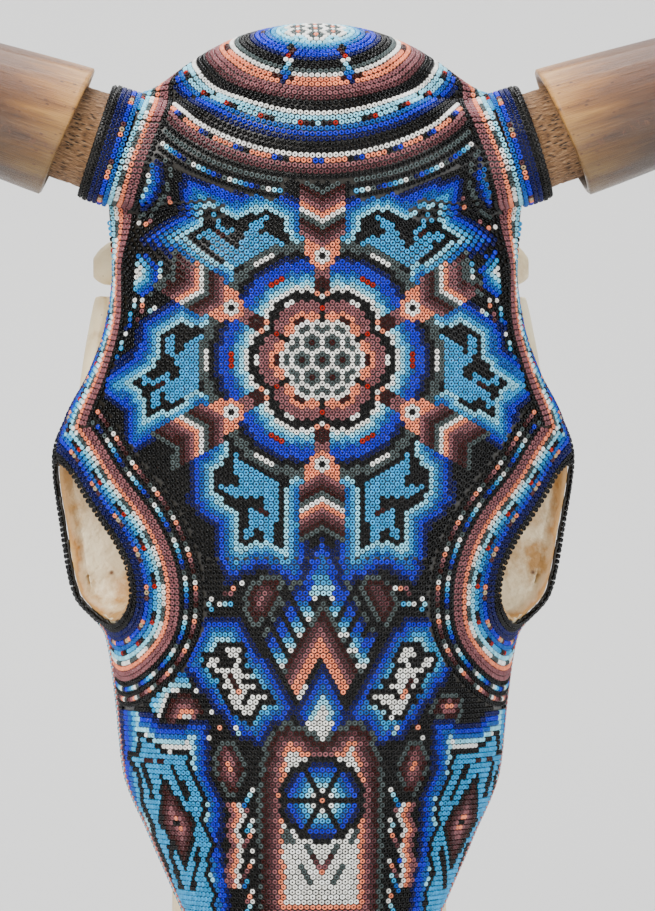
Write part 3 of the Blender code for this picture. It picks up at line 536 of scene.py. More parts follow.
def eye_side_rows(beads):
    """A row of black beads between the eye's rear rim and the head's edge, and rows along the cheek's
    edge."""
    u, v = eye_outline(1.6, 200)
    bu, bv, _ = strung(u, v, (u > 0.9) & (v < 12.2), 0.5)
    beads.add(bu, bv, BLACK, 0)
    v = np.linspace(12.4, 1.0, 300)
    u = np.full(len(v), EDGE_U)
    trail = travel(u, v, inward(u, v), 7 * ROW, ROW / 4)
    for row, colour in enumerate((BLACK, BLACK, TURQUOISE, LIGHT, PEACH, MAUVE)):
        place = trail[row * 4]
        good = (place[:, 1] < 9.3) & (place[:, 1] > 1.0) if row else place[:, 1] > 1.0
        bu, bv, _ = strung(place[:, 0], place[:, 1], good, 0.5 * (row % 2))
        beads.add(bu, bv, colour, 0)


def lay_beads():
    """Every bead of the face as (u, v, colour), with crowded ones left out."""
    beads = Beads()
    eye_side_rows(beads)
    border_rows(beads)
    dome_rings(beads)
    field_beads(beads)
    u, v, colour, group = mirrored_set(*beads.arrays())
    order = np.argsort(group, kind="stable")
    u, v, colour, group = u[order], v[order], colour[order], group[order]
    eye = np.stack(eye_outline(0.9, 120), -1) * (U_MM, V_MM)
    clear = ~in_polygon(np.stack([np.abs(u) * U_MM, v * V_MM], -1), eye)
    u, v, colour, group = u[clear], v[clear], colour[clear], group[clear]
    place, normal, _, _ = chart_frame(u, v)
    stays = thinned(place + normal * BEAD_LAYER, 0.86 * PITCH, group)
    return u[stays], v[stays], colour[stays]


# ---------------------------------------------------------------- what colour they are
# Outlines are (x, z) in millimetres as seen from the front.

STAR = ((41, -13.5), (48, -22), (53, -25), (61.5, -20), (68, -16.5), (70.5, -11), (71, -4.5), (80, 2),
        (88, 11),
        (76, 18.5), (75, 37.5), (62.5, 30.5), (53, 27), (44, 21), (40.5, 15.5), (44.3, 5), (44.8, -3.5),
        (42.8, -10.8))
DEER = ((43, -11), (46, -5.5), (46, 2), (45.5, 7), (48, 10.5), (56.5, 15.5), (59.5, 14.5), (60.5, 13),
        (62.5, 17),
        (65.5, 18), (66, 15.5), (64, 12.5), (63.5, 9), (65.5, 8.5), (67.5, 10), (70, 9), (67.5, 6),
        (64.5, 7.5),
        (58.5, 4), (58, 9), (53.5, 6.5), (54.5, 4), (56.5, 0.5), (59, -3), (59, -8.5), (56.5, -9.5), (55, -3),
        (50.5, -6.5), (43.5, -12.5))
HORN_MOON = ((-61, 389), (-57, 382), (-55.5, 377), (-57, 371), (-60, 365.5), (-64, 361.5), (-71.5, 361))
WAIST_MOON = ((-67.5, 348), (-63.5, 346.5), (-61, 341.5), (-62, 335), (-67.5, 331))
OVAL = ((-26, 221), (-21.5, 223.5), (-14, 223.5), (-13, 220.5), (-14.5, 214.5), (-17.5, 209.5), (-21, 206),
        (-22.5, 204), (-25, 205), (-28, 210), (-28, 215))
TAIL = ((-8.5, 211), (-7, 221), (-4.5, 231), (1.5, 239.5), (7.5, 231), (10, 221), (11.5, 211), (1.5, 217))
PEAK = ((1.5, 216), (-12, 189.5), (-11, 183), (-7, 176), (1.5, 194.5), (10, 176), (14, 183), (15, 189.5))
KITE = ((1.5, 192), (12, 171.5), (9.5, 164), (3.5, 157.5), (-0.5, 157.5), (-6.5, 164), (-8.5, 171.5))
PEN = ((-42.5, 208), (-30, 208.5), (-25.5, 202), (-15, 185.5), (-8, 172.5), (-10.5, 168), (-16.5, 166),
       (-20.5, 159),
       (-30, 161), (-36.5, 169.5), (-44.5, 179.5), (-52, 190), (-49.5, 196.5), (-45.5, 203))
ANIMAL = ((-34.5, 196.5), (-30.5, 197), (-28, 192), (-30.5, 189), (-26.5, 187), (-26.5, 185), (-30, 184.5),
          (-27.5, 183.5), (-23.5, 182.5), (-23.5, 181), (-27, 180.5), (-28, 177), (-28, 174.5), (-25, 179),
          (-20, 179.5),
          (-18, 176.5), (-22, 175.5), (-24.5, 172.5), (-25.5, 169.5), (-28.5, 170), (-31, 173.5), (-34, 177),
          (-32, 179.5), (-35.5, 180.5), (-35, 185.5), (-38, 187), (-41.5, 190), (-41.5, 193), (-38, 193),
          (-37.5, 189.5), (-35, 188.5), (-32, 189.5), (-32, 193), (-35, 193.5))
CHEEK = ((-90, 172), (-64, 171.5), (-57.5, 166), (-40.5, 169.5), (-40.5, 147.5), (-35.5, 138), (-35.5, 118),
         (-33, 105),
         (-32, 90), (-34, 70), (-40, 58), (-60, 60), (-90, 110))
CHEEK_RIM = ((-75, 172), (-74.5, 159), (-74, 143), (-71, 127), (-66, 112), (-60, 97), (-56, 84))
CREATURE = ((-67, 161), (-56.5, 154), (-50, 155), (-49, 149), (-43.5, 136), (-44.5, 128), (-40.5, 120),
            (-42.5, 108),
            (-39.5, 99.5), (-40, 84), (-43, 76), (-46, 90), (-50, 76), (-52, 95), (-53.5, 101.5),
            (-56, 109.5),
            (-60.5, 120), (-61.5, 125.5), (-65.5, 134.5), (-66.5, 145.5), (-71, 153), (-67, 153))
LIMBS = (((-66, 150.5), (-62.5, 137)), ((-55, 150.5), (-49, 138)), ((-45, 117.5), (-47, 101.5)),
         ((-56, 117.5), (-51, 101.5)))
BELLY = ((-59.5, 147.5), (-45.5, 128), (-49, 108), (-60, 127.5))
FAN = ((-64.5, 181), (-58, 185), (-51, 186.5), (-45.5, 179), (-39.5, 171.5), (-57.5, 166.5), (-62.5, 171.5))
DROP = ((43, 171.5), (45, 176), (51.5, 179), (57, 176), (56.5, 171.5), (55.5, 167.5), (49, 168))
SIDE_OVAL = ((-37, 160.5), (-30.5, 160), (-27, 151), (-29, 141), (-33.5, 139), (-38.5, 145.5), (-39.5, 154))
WAVE = ((-31.5, 137), (-30, 131), (-32, 124.5), (-30, 118), (-32, 111.5), (-31, 103.5))
NOSE = ((-22, 88), (-22.5, 143), (-21.5, 154.5), (-18, 163.5), (-12.5, 168.5), (-4.5, 166.5), (2, 161.5),
        (8, 166.5),
        (16, 169.5), (21.5, 164), (25, 154.5), (26, 143), (26, 88))
NOSE_DISC = np.array([2.1, 138.2])
# Short strings of graded beads in the black ground, on both sides: from, to, and their colours
STRINGS = (
    ((-61, 400), (-63.5, 392), (COBALT, BLUE, TURQUOISE, LIGHT, WHITE)),
    ((-59.5, 343.5), (-59.5, 338), (TURQUOISE, LIGHT, WHITE)),
    ((-68.5, 358), (-63.5, 359), (WHITE, PEACH, MAUVE)),
    ((-56, 368), (-56, 366), (MAUVE, PEACH)),
    ((-66.5, 329.5), (-68, 322), (WHITE, PEACH, MAUVE, PLUM)),
    ((-69.5, 329), (-72.5, 318), (WHITE, LIGHT, TURQUOISE, BLUE, COBALT, NAVY)),
    ((-73, 316.5), (-76, 308), (WHITE, LIGHT, TURQUOISE, BLUE)),
    ((-62.5, 326), (-64, 324.5), (WHITE, LIGHT)),
    ((-29.5, 220.5), (-36, 217), (WHITE, PEACH, MAUVE, PLUM)),
    ((-36.5, 213), (-32.5, 214), (WHITE, LIGHT, TURQUOISE)),
    ((-40, 215.5), (-41, 211), (WHITE, LIGHT, TURQUOISE)),
    ((-55.5, 344), (-55.5, 339), (GREY, GREY, GREY)),
    ((-57, 337.5), (-63, 331.5), (GREY, GREY, GREY, GREY)),
    ((-40.5, 162), (-38, 165), (WHITE, PEACH)),
    ((-31, 165), (-30.5, 163), (WHITE, LIGHT)),
)


def by_depth(colour, inside, depth, colours, width=1.95):
    """Recolours the beads inside by how deep they lie, one colour for each row; None leaves a bead as it
    is."""
    index = np.clip(np.floor(depth / width).astype(int), 0, len(colours) - 1)
    table = np.array([-1 if tone is None else tone for tone in colours])
    new = table[index]
    return np.where(inside & (new >= 0), new, colour)


def outlined(colour, points, outline, colours, width=1.95, open_path=None):
    """Bands that follow an outline inward."""
    inside = in_polygon(points, outline)
    depth = path_distance(points, outline if open_path is None else open_path, closed=open_path is None)
    return by_depth(colour, inside, depth, colours, width)


def turned(points, degrees):
    """Coordinates along and across a direction, counted anticlockwise."""
    c, s = np.cos(np.radians(degrees)), np.sin(np.radians(degrees))
    return points[:, 0] * c + points[:, 1] * s, -points[:, 0] * s + points[:, 1] * c


def rosette_colours(colour, points):
    """The rosette: a core of seven cells, lobes round it, six blue petals, star panels and six snakes. The
    star panels are drawn once and turned; the right side mirrors the left."""
    from_middle = points - ROSETTE
    folded = from_middle.copy()
    folded[:, 0] = -np.abs(folded[:, 0])
    for degrees, size in ((120, 1.0), (180, 1.0), (240, 1.06)):
        along, across = turned(folded, degrees)
        local = np.stack([along, across], -1) / size
        path = STAR[1:14]
        inside = in_polygon(local, STAR)
        colour = by_depth(colour, inside, path_distance(local, path),
                          (NAVY, COBALT, BLUE, TURQUOISE, LIGHT, BLACK))
        colour = np.where(inside & in_polygon(local, DEER), TURQUOISE, colour)
        colour = np.where(np.hypot(along - 61, across - 9.5) < 1.5, MAROON, colour)
    far = np.hypot(*from_middle.T)
    angle = np.degrees(np.arctan2(from_middle[:, 1], from_middle[:, 0]))
    petal = np.radians(angle - 60 * np.round(angle / 60))
    along, across = far * np.cos(petal), far * np.abs(np.sin(petal))
    snake = np.radians(angle - 30 - 60 * np.round((angle - 30) / 60))
    reach, wide = far * np.cos(snake), far * np.abs(np.sin(snake))
    lobe = (11 + np.hypot(along - 11, across)) / NEST
    ring = np.round(lobe).astype(int)
    bands = {9: PEACH, 10: PEACH, 11: MAUVE, 12: MAUVE, 13: BLACK, 14: BLACK, 15: WHITE, 16: LIGHT,
             17: TURQUOISE, 18: BLUE,
             19: COBALT, 20: COBALT, 21: NAVY, 22: BLACK, 23: GREY, 24: GREY}
    table = np.array([bands.get(k, BLACK) for k in range(30)])
    core = far < 47
    disc = core & (ring <= 24)
    colour = np.where(disc, table[np.clip(ring, 0, 29)], colour)
    marks = ((9, 3.2, MAROON), (13, 2.2, WHITE), (18, 3.2, RED), (23, 4.4, WHITE))
    for number, half, tone in marks:
        colour = np.where(disc & (ring == number) & (across < half), tone, colour)
    gap = (wide < 3.1) & (ring > 13) & core
    colour = np.where(gap, BLACK, colour)
    colour = np.where(disc & (wide < 1.0) & (ring >= 9) & (ring <= 12), np.where(ring == 12, RED, BLACK),
                      colour)
    cells = np.array([(0, 0)] + [(4 * NEST * np.cos(t),
                                  4 * NEST * np.sin(t)) for t in np.arange(6) * np.pi / 3])
    off = np.min(np.linalg.norm(from_middle[:, None] - cells, axis=-1), axis=1)
    for limit, tone in ((8.4, WHITE), (6.3, GREY), (4.7, WHITE), (2.6, GREY), (0.8, MAROON)):
        colour = np.where(off < limit, tone, colour)
    # snakes
    slant = reach - 0.577 * wide
    body = (reach > 33) & (slant > 43.5) & (slant < 65.5) & (wide < 8.2)
    colour = by_depth(colour, body, slant - 43.5,
                      (MAUVE, PLUM, MAROON, GREY, WHITE, PEACH, MAUVE, PLUM, MAROON, GREY), 2.2)
    head = (slant <= 43.5) & (wide < np.minimum(6.5, reach - 33.2)) & (reach > 34)
    middle = np.hypot(reach - 39.9, wide)
    colour = np.where(head, np.select([middle < 0.9, middle < 3.0], [BLACK, WHITE], PEACH), colour)
    neck = (reach > 26.3) & (reach <= 34.6) & (wide < 2.8) & ~head
    colour = np.where(neck, np.where(reach < 31, MAROON, MAUVE), colour)
    colour = np.where((reach > 23.2) & (reach < 25.4) & (wide < 1.3), WHITE, colour)
    colour = np.where((reach > 24.3) & (reach < 26.6) & (wide > 1.3) & (wide < 3.2), PEACH, colour)
    return colour


def brow_colours(colour, points):
    """Between rosette and nose: ovals, slanting stripes, a peak over a kite, and the two pens with an
    animal."""
    folded = np.stack([1.5 - np.abs(points[:, 0] - 1.5), points[:, 1]], -1)
    middle = np.abs(points[:, 0] - 1.5)
    tail = in_polygon(points, TAIL)
    colour = by_depth(colour, tail, path_distance(points, TAIL[:7]), (NAVY, COBALT, COBALT, BLUE), 1.9)
    heart = tail & (path_distance(points, TAIL[:7]) > 4.6)
    colour = by_depth(colour, heart, 227 - points[:, 1],
                      (BLUE, TURQUOISE, TURQUOISE, LIGHT, LIGHT, WHITE, WHITE), 2.0)
    colour = outlined(colour, folded, OVAL, (GREY, MAROON, PLUM, MAUVE, PEACH, WHITE), 1.8)
    for top, bottom in (((-8, 219.5), (-2, 207)), ((-11.5, 213), (-5.5, 200.5)), ((-15, 207), (-9, 194.5)),
                        ((-18.5, 201.5), (-12.5, 189))):
        top, bottom = np.array(top), np.array(bottom)
        way = (bottom - top) / np.linalg.norm(bottom - top)
        along = (folded - top) @ way
        aside = np.abs((folded - top) @ np.array([-way[1], way[0]]))
        stripe = (aside < 2.0) & (along > -2.4) & (along < 15.2)
        colour = by_depth(colour, stripe, along + 2.4,
                          (GREY, NAVY, COBALT, COBALT, BLUE, TURQUOISE, LIGHT, WHITE, GREY), 2.0)
    slope = (216 - points[:, 1]) * 0.5 - middle * 0.866
    colour = by_depth(colour, in_polygon(points, PEAK) & (slope < 13.6), slope,
                      (GREY, MAROON, PLUM, MAUVE, PEACH, PEACH, WHITE), 1.9)
    colour = outlined(colour, points, KITE, (NAVY, COBALT, BLUE, LIGHT, WHITE), 1.8)
    colour = np.where(in_polygon(points, KITE) & (points[:, 1] < 168) & (middle < 5), WHITE, colour)
    colour = outlined(colour, folded, PEN, (NAVY, COBALT, BLUE, TURQUOISE, LIGHT, BLACK))
    rim = (path_distance(folded, ANIMAL, closed=True) < 1.9) & in_polygon(folded, PEN)
    colour = np.where(in_polygon(folded, ANIMAL), WHITE, np.where(rim, BLACK, colour))
    spine = path_distance(folded, ((-33, 185), (-30, 178))) < 1.0
    return np.where(spine, np.where(folded[:, 1] > 181, MAROON, PEACH), colour)


def nose_colours(colour, points):
    """The nose's arch with its disc of six wedges, the columns beside it and the cheek panels."""
    colour = outlined(colour, points, NOSE, (GREY, MAROON, PLUM, MAUVE, PEACH, WHITE), 1.95)
    local = points - NOSE_DISC
    far = np.hypot(*local.T)
    wedge = np.degrees(np.arctan2(local[:, 1], local[:, 0])) - 30
    wedge = np.radians(wedge - 60 * np.round(wedge / 60))
    along, across = far * np.cos(wedge), far * np.abs(np.sin(wedge))
    row = np.round(along / 1.95).astype(int)
    table = np.array([BLACK, BLACK, WHITE, LIGHT, TURQUOISE, BLUE, COBALT, NAVY, BLACK, BLACK, BLACK])
    disc = far < 16.6
    lit = disc & (across < (along - 2.6) * 0.5 + 0.7) & ((row < 7) | (across < 3.8))
    colour = np.where(disc, np.where(lit, table[np.clip(row, 0, 10)], BLACK), colour)
    colour = np.where(far < 1.1, PEACH, colour)
    vee = (points[:, 1] - 111) - 1.75 * np.abs(points[:, 0] - 2)
    low = (points[:, 1] > 109.8) & (points[:, 1] < 120) & (vee > -1.6) & (vee < 2.2)
    colour = by_depth(colour, low, points[:, 1] - 109.8, (PEACH, MAUVE, PLUM, MAROON, GREY), 2.0)
    folded = np.stack([2.0 - np.abs(points[:, 0] - 2.0), points[:, 1]], -1)
    for line in (((-12.5, 126), (-10, 121.5)), ((-5.5, 111.5), (-2.5, 107))):
        colour = np.where(path_distance(folded, line) < 1.05, GREY, colour)
    colour = outlined(colour, folded, CHEEK, (NAVY, COBALT, BLUE, LIGHT, WHITE, WHITE), 1.95,
                      open_path=CHEEK[:9])
    outer = in_polygon(folded, CHEEK) & (folded[:, 1] < 170)
    colour = by_depth(colour, outer & (path_distance(folded, CHEEK_RIM) < 7.0),
                      path_distance(folded, CHEEK_RIM),
                      (NAVY, COBALT, BLUE, TURQUOISE, LIGHT), 1.4)
    inside = in_polygon(folded, CREATURE)
    rim = path_distance(folded, CREATURE, closed=True)
    colour = np.where(~inside & (rim < 1.6) & in_polygon(folded, CHEEK), BLACK, colour)
    colour = np.where(inside, TURQUOISE, colour)
    for limb in LIMBS:
        colour = np.where(path_distance(folded, limb) < 0.95, BLACK, colour)
    colour = outlined(colour, folded, BELLY, (BLACK, MAROON, PLUM, MAUVE, PEACH, WHITE), 1.35)
    colour = np.where(np.hypot(folded[:, 0] + 53, folded[:, 1] - 127.5) < 1.1, BLACK, colour)
    for eye in ((-64, 151.5), (-59, 152)):
        colour = np.where(np.hypot(folded[:, 0] - eye[0], folded[:, 1] - eye[1]) < 1.5, MAROON, colour)
    left = points[:, 0] < 0
    centre = np.hypot((points[:, 0] + 50) * 1.15, points[:, 1] - 169.5)
    fan = left & in_polygon(points, FAN)
    colour = by_depth(colour, fan, centre, (WHITE, PEACH, MAUVE, PLUM, MAROON, BLACK, WHITE, LIGHT, TURQUOISE,
                                            BLUE), 1.75)
    colour = outlined(colour, points, DROP, (GREY, MAROON, MAUVE, PEACH, WHITE), 1.4)
    colour = outlined(colour, folded, SIDE_OVAL, (GREY, MAROON, PLUM, MAUVE, PEACH, WHITE), 1.3)
    waves = np.interp(-folded[:, 1], [-z for _, z in WAVE], [x for x, _ in WAVE])
    off = folded[:, 0] - waves
    wavy = (np.abs(off) < 2.8) & (folded[:, 1] < 137) & (folded[:, 1] > 103)
    colour = np.where(wavy, np.select([off < -0.9, off < 0.9], [MAUVE, PEACH], WHITE), colour)
    start = (folded[:, 1] - 141.5) + 1.6 * (-24.5 - folded[:, 0])
    number = np.floor(-start / 5.6 + 0.5)
    near = np.abs(start + number * 5.6) < 1.35
    run = (-24.2 - folded[:, 0]) / 1.15
    slanted = near & (number >= 0) & (number < 10) & (run > -0.5) & (run < 4.5)
    slanted &= (off > 2.8) & (folded[:, 1] > 88)
    index = np.clip(np.round(run).astype(int), 0, 4)
    cool = np.array([WHITE, LIGHT, TURQUOISE, BLUE, COBALT])[index]
    warm = np.array([WHITE, PEACH, MAUVE, PLUM, MAROON])[index]
    return np.where(slanted, np.where(number % 2 == 0, cool, warm), colour)


def muzzle_colours(colour, points, v):
    """Below the nose: level rows of blue and peach that close the pattern round the muzzle."""
    rows = (BLACK, COBALT, BLUE, TURQUOISE, LIGHT, WHITE, BLACK, PEACH, MAUVE, PLUM, BLACK, BLACK)
    low = points[:, 1] < 84
    row = np.floor((84 - points[:, 1]) / 2.0).astype(int) % len(rows)
    return np.where(low & (v < 4.45), np.array(rows)[np.clip(row, 0, len(rows) - 1)], colour)


def field_colours(place, v):
    """The field's colours: a black ground with each motif laid over it."""
    points = place[:, [0, 2]]
    colour = np.full(len(points), BLACK)
    folded = np.stack([-np.abs(points[:, 0] - 0.8) + 0.4, points[:, 1]], -1)
    colour = rosette_colours(colour, points)
    for moon, flat in ((HORN_MOON, ((-64, 386), (-72, 364))), (WAIST_MOON, ((-69, 346), (-70, 333)))):
        shape = moon + flat[::-1]
        depth = path_distance(folded, moon)
        bands = (GREY, BLACK, NAVY, COBALT, BLUE, LIGHT, WHITE, PEACH) if moon is HORN_MOON else (COBALT,
                                                                                                  BLUE,
                                                                                                  TURQUOISE,
                                                                                                  LIGHT,
                                                                                                  WHITE)
        inside = in_polygon(folded, shape)
        colour = by_depth(np.where(inside, BLACK, colour), inside, depth, bands, 1.45)
    colour = brow_colours(colour, points)
    colour = nose_colours(colour, points)
    colour = muzzle_colours(colour, points, v)
    for start, stop, tones in STRINGS:
        for side in (-1, 1):
            t = np.linspace(0, 1, len(tones))[:, None]
            spots = np.array(start) * (1 - t) + np.array(stop) * t
            spots[:, 0] *= -side
            gap = np.linalg.norm(points[:, None] - spots, axis=-1)
            nearest = np.argmin(gap, axis=0)
            close = gap[nearest, np.arange(len(tones))] < 1.6
            colour[nearest[close]] = np.array(tones)[close]
    return colour


# ---------------------------------------------------------------- meshes


def to_world(points):
    return (np.asarray(points, float) - HOOK) * MM


def grid_quads(rows, columns, wrap=False):
    """Quads of a grid of points listed row by row; wrap joins the last column to the first."""
    i, j = np.meshgrid(np.arange(rows - 1), np.arange(columns if wrap else columns - 1), indexing="ij")
    k = (j + 1) % columns
    return np.stack([i * columns + j, i * columns + k, (i + 1) * columns + k, (i + 1) * columns + j],
                    -1).reshape(-1, 4)


def new_piece(name, points, quads, materials, slots=None):
    """A smooth mesh object of quads from points in the skull's millimetres."""
    mesh = bpy.data.meshes.new(name)
    quads = np.asarray(quads, np.int32)
    mesh.vertices.add(len(points))
    mesh.vertices.foreach_set("co", to_world(points).astype(np.float32).ravel())
    mesh.loops.add(quads.size)
    mesh.loops.foreach_set("vertex_index", quads.ravel())
    mesh.polygons.add(len(quads))
    mesh.polygons.foreach_set("loop_start", np.arange(0, quads.size, 4, dtype=np.int32))
    for material in materials:
        mesh.materials.append(material)
    if slots is not None:
        mesh.polygons.foreach_set("material_index", np.asarray(slots, np.int32))
    mesh.update(calc_edges=True)
    mesh.shade_smooth()
    piece = bpy.data.objects.new(name, mesh)
    bpy.context.scene.collection.objects.link(piece)
    return piece


def bead_form(size, around=8):
    """One bead about its own axis: a ring whose cross-section has four corners, outside, top, hole and
    bottom."""
    turn = np.linspace(0, 2 * np.pi, around, endpoint=False)
    section = np.array([(1.06, 0.0), (0.76, 0.62), (0.38, 0.05), (0.72, -0.62)]) * size
    ring = np.stack([
        section[None, :, 0] * np.cos(turn)[:, None],
        section[None, :, 0] * np.sin(turn)[:, None],
        np.broadcast_to(section[None, :, 1], (around, 4)),
    ], -1).reshape(-1, 3)
    quads = grid_quads(around + 1, 4, wrap=True) % (around * 4)
    return ring, quads[:, ::-1]


def scatter_beads(name, centre, normal, tone, materials, seed, size, tilt):
    """One mesh of beads: each is the bead's form turned so that its hole follows the surface's normal, give
    or take a small tilt, and given the slot of its colour and tint."""
    chance = np.random.default_rng(seed)
    normal = normal + chance.normal(0, tilt, normal.shape)
    normal /= np.linalg.norm(normal, axis=1, keepdims=True)
    side = np.cross(normal, np.array([0.3, 0.2, 0.93]))
    side /= np.linalg.norm(side, axis=1, keepdims=True)
    other = np.cross(normal, side)
    spin = chance.uniform(0, 2 * np.pi, len(centre))[:, None]
    side, other = np.cos(spin) * side + np.sin(spin) * other, np.cos(spin) * other - np.sin(spin) * side
    centre = centre + side * chance.normal(0, 0.035, (len(centre), 1)) + other * chance.normal(0, 0.035,
                                                                                               (len(centre),
                                                                                                1))
    form, quads = bead_form(size)
    scale = chance.normal(1.0, 0.02, len(centre)).clip(0.95, 1.04)[:, None, None]
    frame_of = np.stack([side, other, normal], axis=1)
    points = np.einsum("pk,nkc->npc", form, frame_of) * scale + centre[:, None, :]
    faces = quads[None] + (np.arange(len(centre)) * len(form))[:, None, None]
    tint = chance.choice(TINTS, len(centre), p=(0.5, 0.3, 0.2))
    slots = np.repeat(tone * TINTS + tint, len(quads))
    used, slots = np.unique(slots, return_inverse=True)
    return new_piece(name, points.reshape(-1, 3), faces.reshape(-1, 4), [materials[k] for k in used], slots)


def with_uv(piece, across, along):
    """Gives a grid piece a UV map from two values for each of its vertices."""
    layer = piece.data.uv_layers.new(name="Surface")
    index = np.zeros(len(piece.data.loops), np.int32)
    piece.data.loops.foreach_get("vertex_index", index)
    layer.data.foreach_set("uv", np.stack([across[index], along[index]], -1).astype(np.float32).ravel())


def turned_out(piece):
    """Merges doubles and turns the faces outward."""
    form = bmesh.new()
    form.from_mesh(piece.data)
    bmesh.ops.remove_doubles(form, verts=form.verts, dist=1e-6)
    bmesh.ops.recalc_face_normals(form, faces=form.faces)
    form.to_mesh(piece.data)
    form.free()
    piece.data.shade_smooth()


def finish_piece(piece, body, slot, *nodes):
    """Says which body the piece rides and the CAD nodes that it stands in for. The slot is not used."""
    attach(piece, body)
    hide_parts(*nodes)


def drawn_to_point(ring):
    """A ring of one size drawn together in its middle, which closes a tube's end."""
    return np.repeat(ring.mean(axis=0, keepdims=True), len(ring), axis=0)[None]


SIDES = ((-1, "left"), (1, "right"))


# ---------------------------------------------------------------- materials

TINTS = 3


def linear(color):
    """A display colour from 0 to 255 as linear light."""
    value = np.asarray(color, float) / 255
    return tuple(np.where(value <= 0.04045, value / 12.92, ((value + 0.055) / 1.055) ** 2.4))


class Surface:
    """A material in the making: its nodes and links, and its Principled shader."""

    def __init__(self, name, roughness=0.5):
        self.material = bpy.data.materials.new(name)
        self.material.use_nodes = True
        self.nodes, self.links = self.material.node_tree.nodes, self.material.node_tree.links
        self.shader = self.nodes["Principled BSDF"]
        self.shader.inputs["Roughness"].default_value = roughness

    def plug(self, socket, name):
        """Feeds one of the shader's inputs."""
        self.links.new(socket, self.shader.inputs[name])

    def coords(self, name="Object"):
        return self.nodes.new("ShaderNodeTexCoord").outputs[name]

    def split(self, coords):
        node = self.nodes.new("ShaderNodeSeparateXYZ")
        self.links.new(coords, node.inputs["Vector"])
        return node.outputs

    def texture(self, kind, scale, source=None, **settings):
        """A noise or voronoi texture in object coordinates, or in those of the given socket."""
        node = self.nodes.new(f"ShaderNodeTex{kind}")
        node.inputs["Scale"].default_value = scale
        for key, value in settings.items():
            node.inputs[key].default_value = value
        self.links.new(self.coords() if source is None else source, node.inputs["Vector"])
        return node.outputs[0]

    def ramp(self, source, stops):
        """A colour ramp of (place, colour) stops."""
        node = self.nodes.new("ShaderNodeValToRGB")
        band = node.color_ramp
        while len(band.elements) < len(stops):
            band.elements.new(0.5)
        for element, (place, color) in zip(band.elements, stops):
            element.position = place
            element.color = (*linear(color), 1.0)
        self.links.new(source, node.inputs["Fac"])
        return node.outputs["Color"]

    def fade(self, source, none, full):
        """A mask that goes from nothing at one value of the source to everything at the other."""
        return self.ramp(source, sorted(((none, (0, 0, 0)), (full, (255, 255, 255)))))

    def drifted(self, noise, amount, base):
        """The base value plus some of the noise."""
        node = self.nodes.new("ShaderNodeMath")
        node.operation = "MULTIPLY_ADD"
        self.links.new(noise, node.inputs[0])
        node.inputs[1].default_value = amount
        self.links.new(base, node.inputs[2])
        return node.outputs["Value"]

    def mapped(self, source, **limits):
        """The source stretched between limits, which are named as the node names them."""
        node = self.nodes.new("ShaderNodeMapRange")
        for key, value in limits.items():
            node.inputs[key.replace("_", " ").title()].default_value = value
        self.links.new(source, node.inputs["Value"])
        return node.outputs["Result"]

    def mixed(self, factor, first, second, blend="MIX"):
        node = self.nodes.new("ShaderNodeMix")
        node.data_type = "RGBA"
        node.blend_type = blend
        for name, value in (("Factor", factor), ("A", first), ("B", second)):
            if isinstance(value, bpy.types.NodeSocket):
                self.links.new(value, node.inputs[name])
            elif isinstance(value, (int, float)):
                node.inputs[name].default_value = value
            else:
                node.inputs[name].default_value = (*linear(value), 1.0)
        return node.outputs["Result"]

    def scaled(self, coords, scale):
        """The coordinates stretched along each axis."""
        node = self.nodes.new("ShaderNodeMapping")
        node.inputs["Scale"].default_value = scale
        self.links.new(coords, node.inputs["Vector"])
        return node.outputs["Vector"]

    def bumped(self, height, distance, strength=1.0):
        node = self.nodes.new("ShaderNodeBump")
        node.inputs["Distance"].default_value = distance
        node.inputs["Strength"].default_value = strength
        self.links.new(height, node.inputs["Height"])
        self.plug(node.outputs["Normal"], "Normal")


def bead_materials(palette):
    """Glass: three tints of each colour, a clear coat, and a fine change of gloss from bead to bead."""
    made = []
    for name, color in zip(NAMES, palette):
        for tint, gain in enumerate((1.0, 0.82, 1.16)):
            paint = Surface(f"{name}_glass_{tint + 1}")
            paint.shader.inputs["Base Color"].default_value = (*np.clip(np.array(color) * gain, 0, 0.95), 1.0)
            paint.shader.inputs["Coat Weight"].default_value = 0.06
            paint.shader.inputs["Coat Roughness"].default_value = 0.06
            paint.shader.inputs["Specular IOR Level"].default_value = 0.22
            noise = paint.texture("Noise", 700.0, Detail=1.0)
            paint.plug(paint.mapped(noise, to_min=0.10, to_max=0.26), "Roughness")
            made.append(paint.material)
    return made


def wax_material(color):
    paint = Surface("beeswax", 0.45)
    noise = paint.texture("Noise", 260.0, Detail=4.0)
    shade = paint.nodes.new("ShaderNodeMix")
    shade.data_type = "RGBA"
    paint.links.new(noise, shade.inputs["Factor"])
    shade.inputs["A"].default_value = (*(part * 0.45 for part in color), 1.0)
    shade.inputs["B"].default_value = (*color, 1.0)
    paint.plug(shade.outputs["Result"], "Base Color")
    paint.bumped(noise, 0.0004)
    return paint.material


def bone_material():
    """Dry bone: a slow drift between two creams, brown stains, dark specks, and fine pores in the bump."""
    paint = Surface("dry_bone")
    coords = paint.coords()
    slow = paint.texture("Noise", 22.0, coords, Detail=5.0, Roughness=0.6)
    body = paint.ramp(slow, ((0.35, (226, 212, 178)), (0.68, (204, 178, 130))))
    patch = paint.texture("Noise", 38.0, coords, Detail=8.0, Roughness=0.65)
    stained = paint.mixed(paint.fade(patch, 0.536, 0.78), body, (140, 98, 52))
    speck = paint.texture("Voronoi", 170.0, coords)
    dots = paint.fade(speck, 0.07, 0.0)
    paint.plug(paint.mixed(dots, stained, (92, 60, 34)), "Base Color")
    pores = paint.texture("Noise", 900.0, coords, Detail=3.0)
    paint.bumped(paint.mixed(0.35, patch, pores), 0.0012, 0.6)
    return paint.material


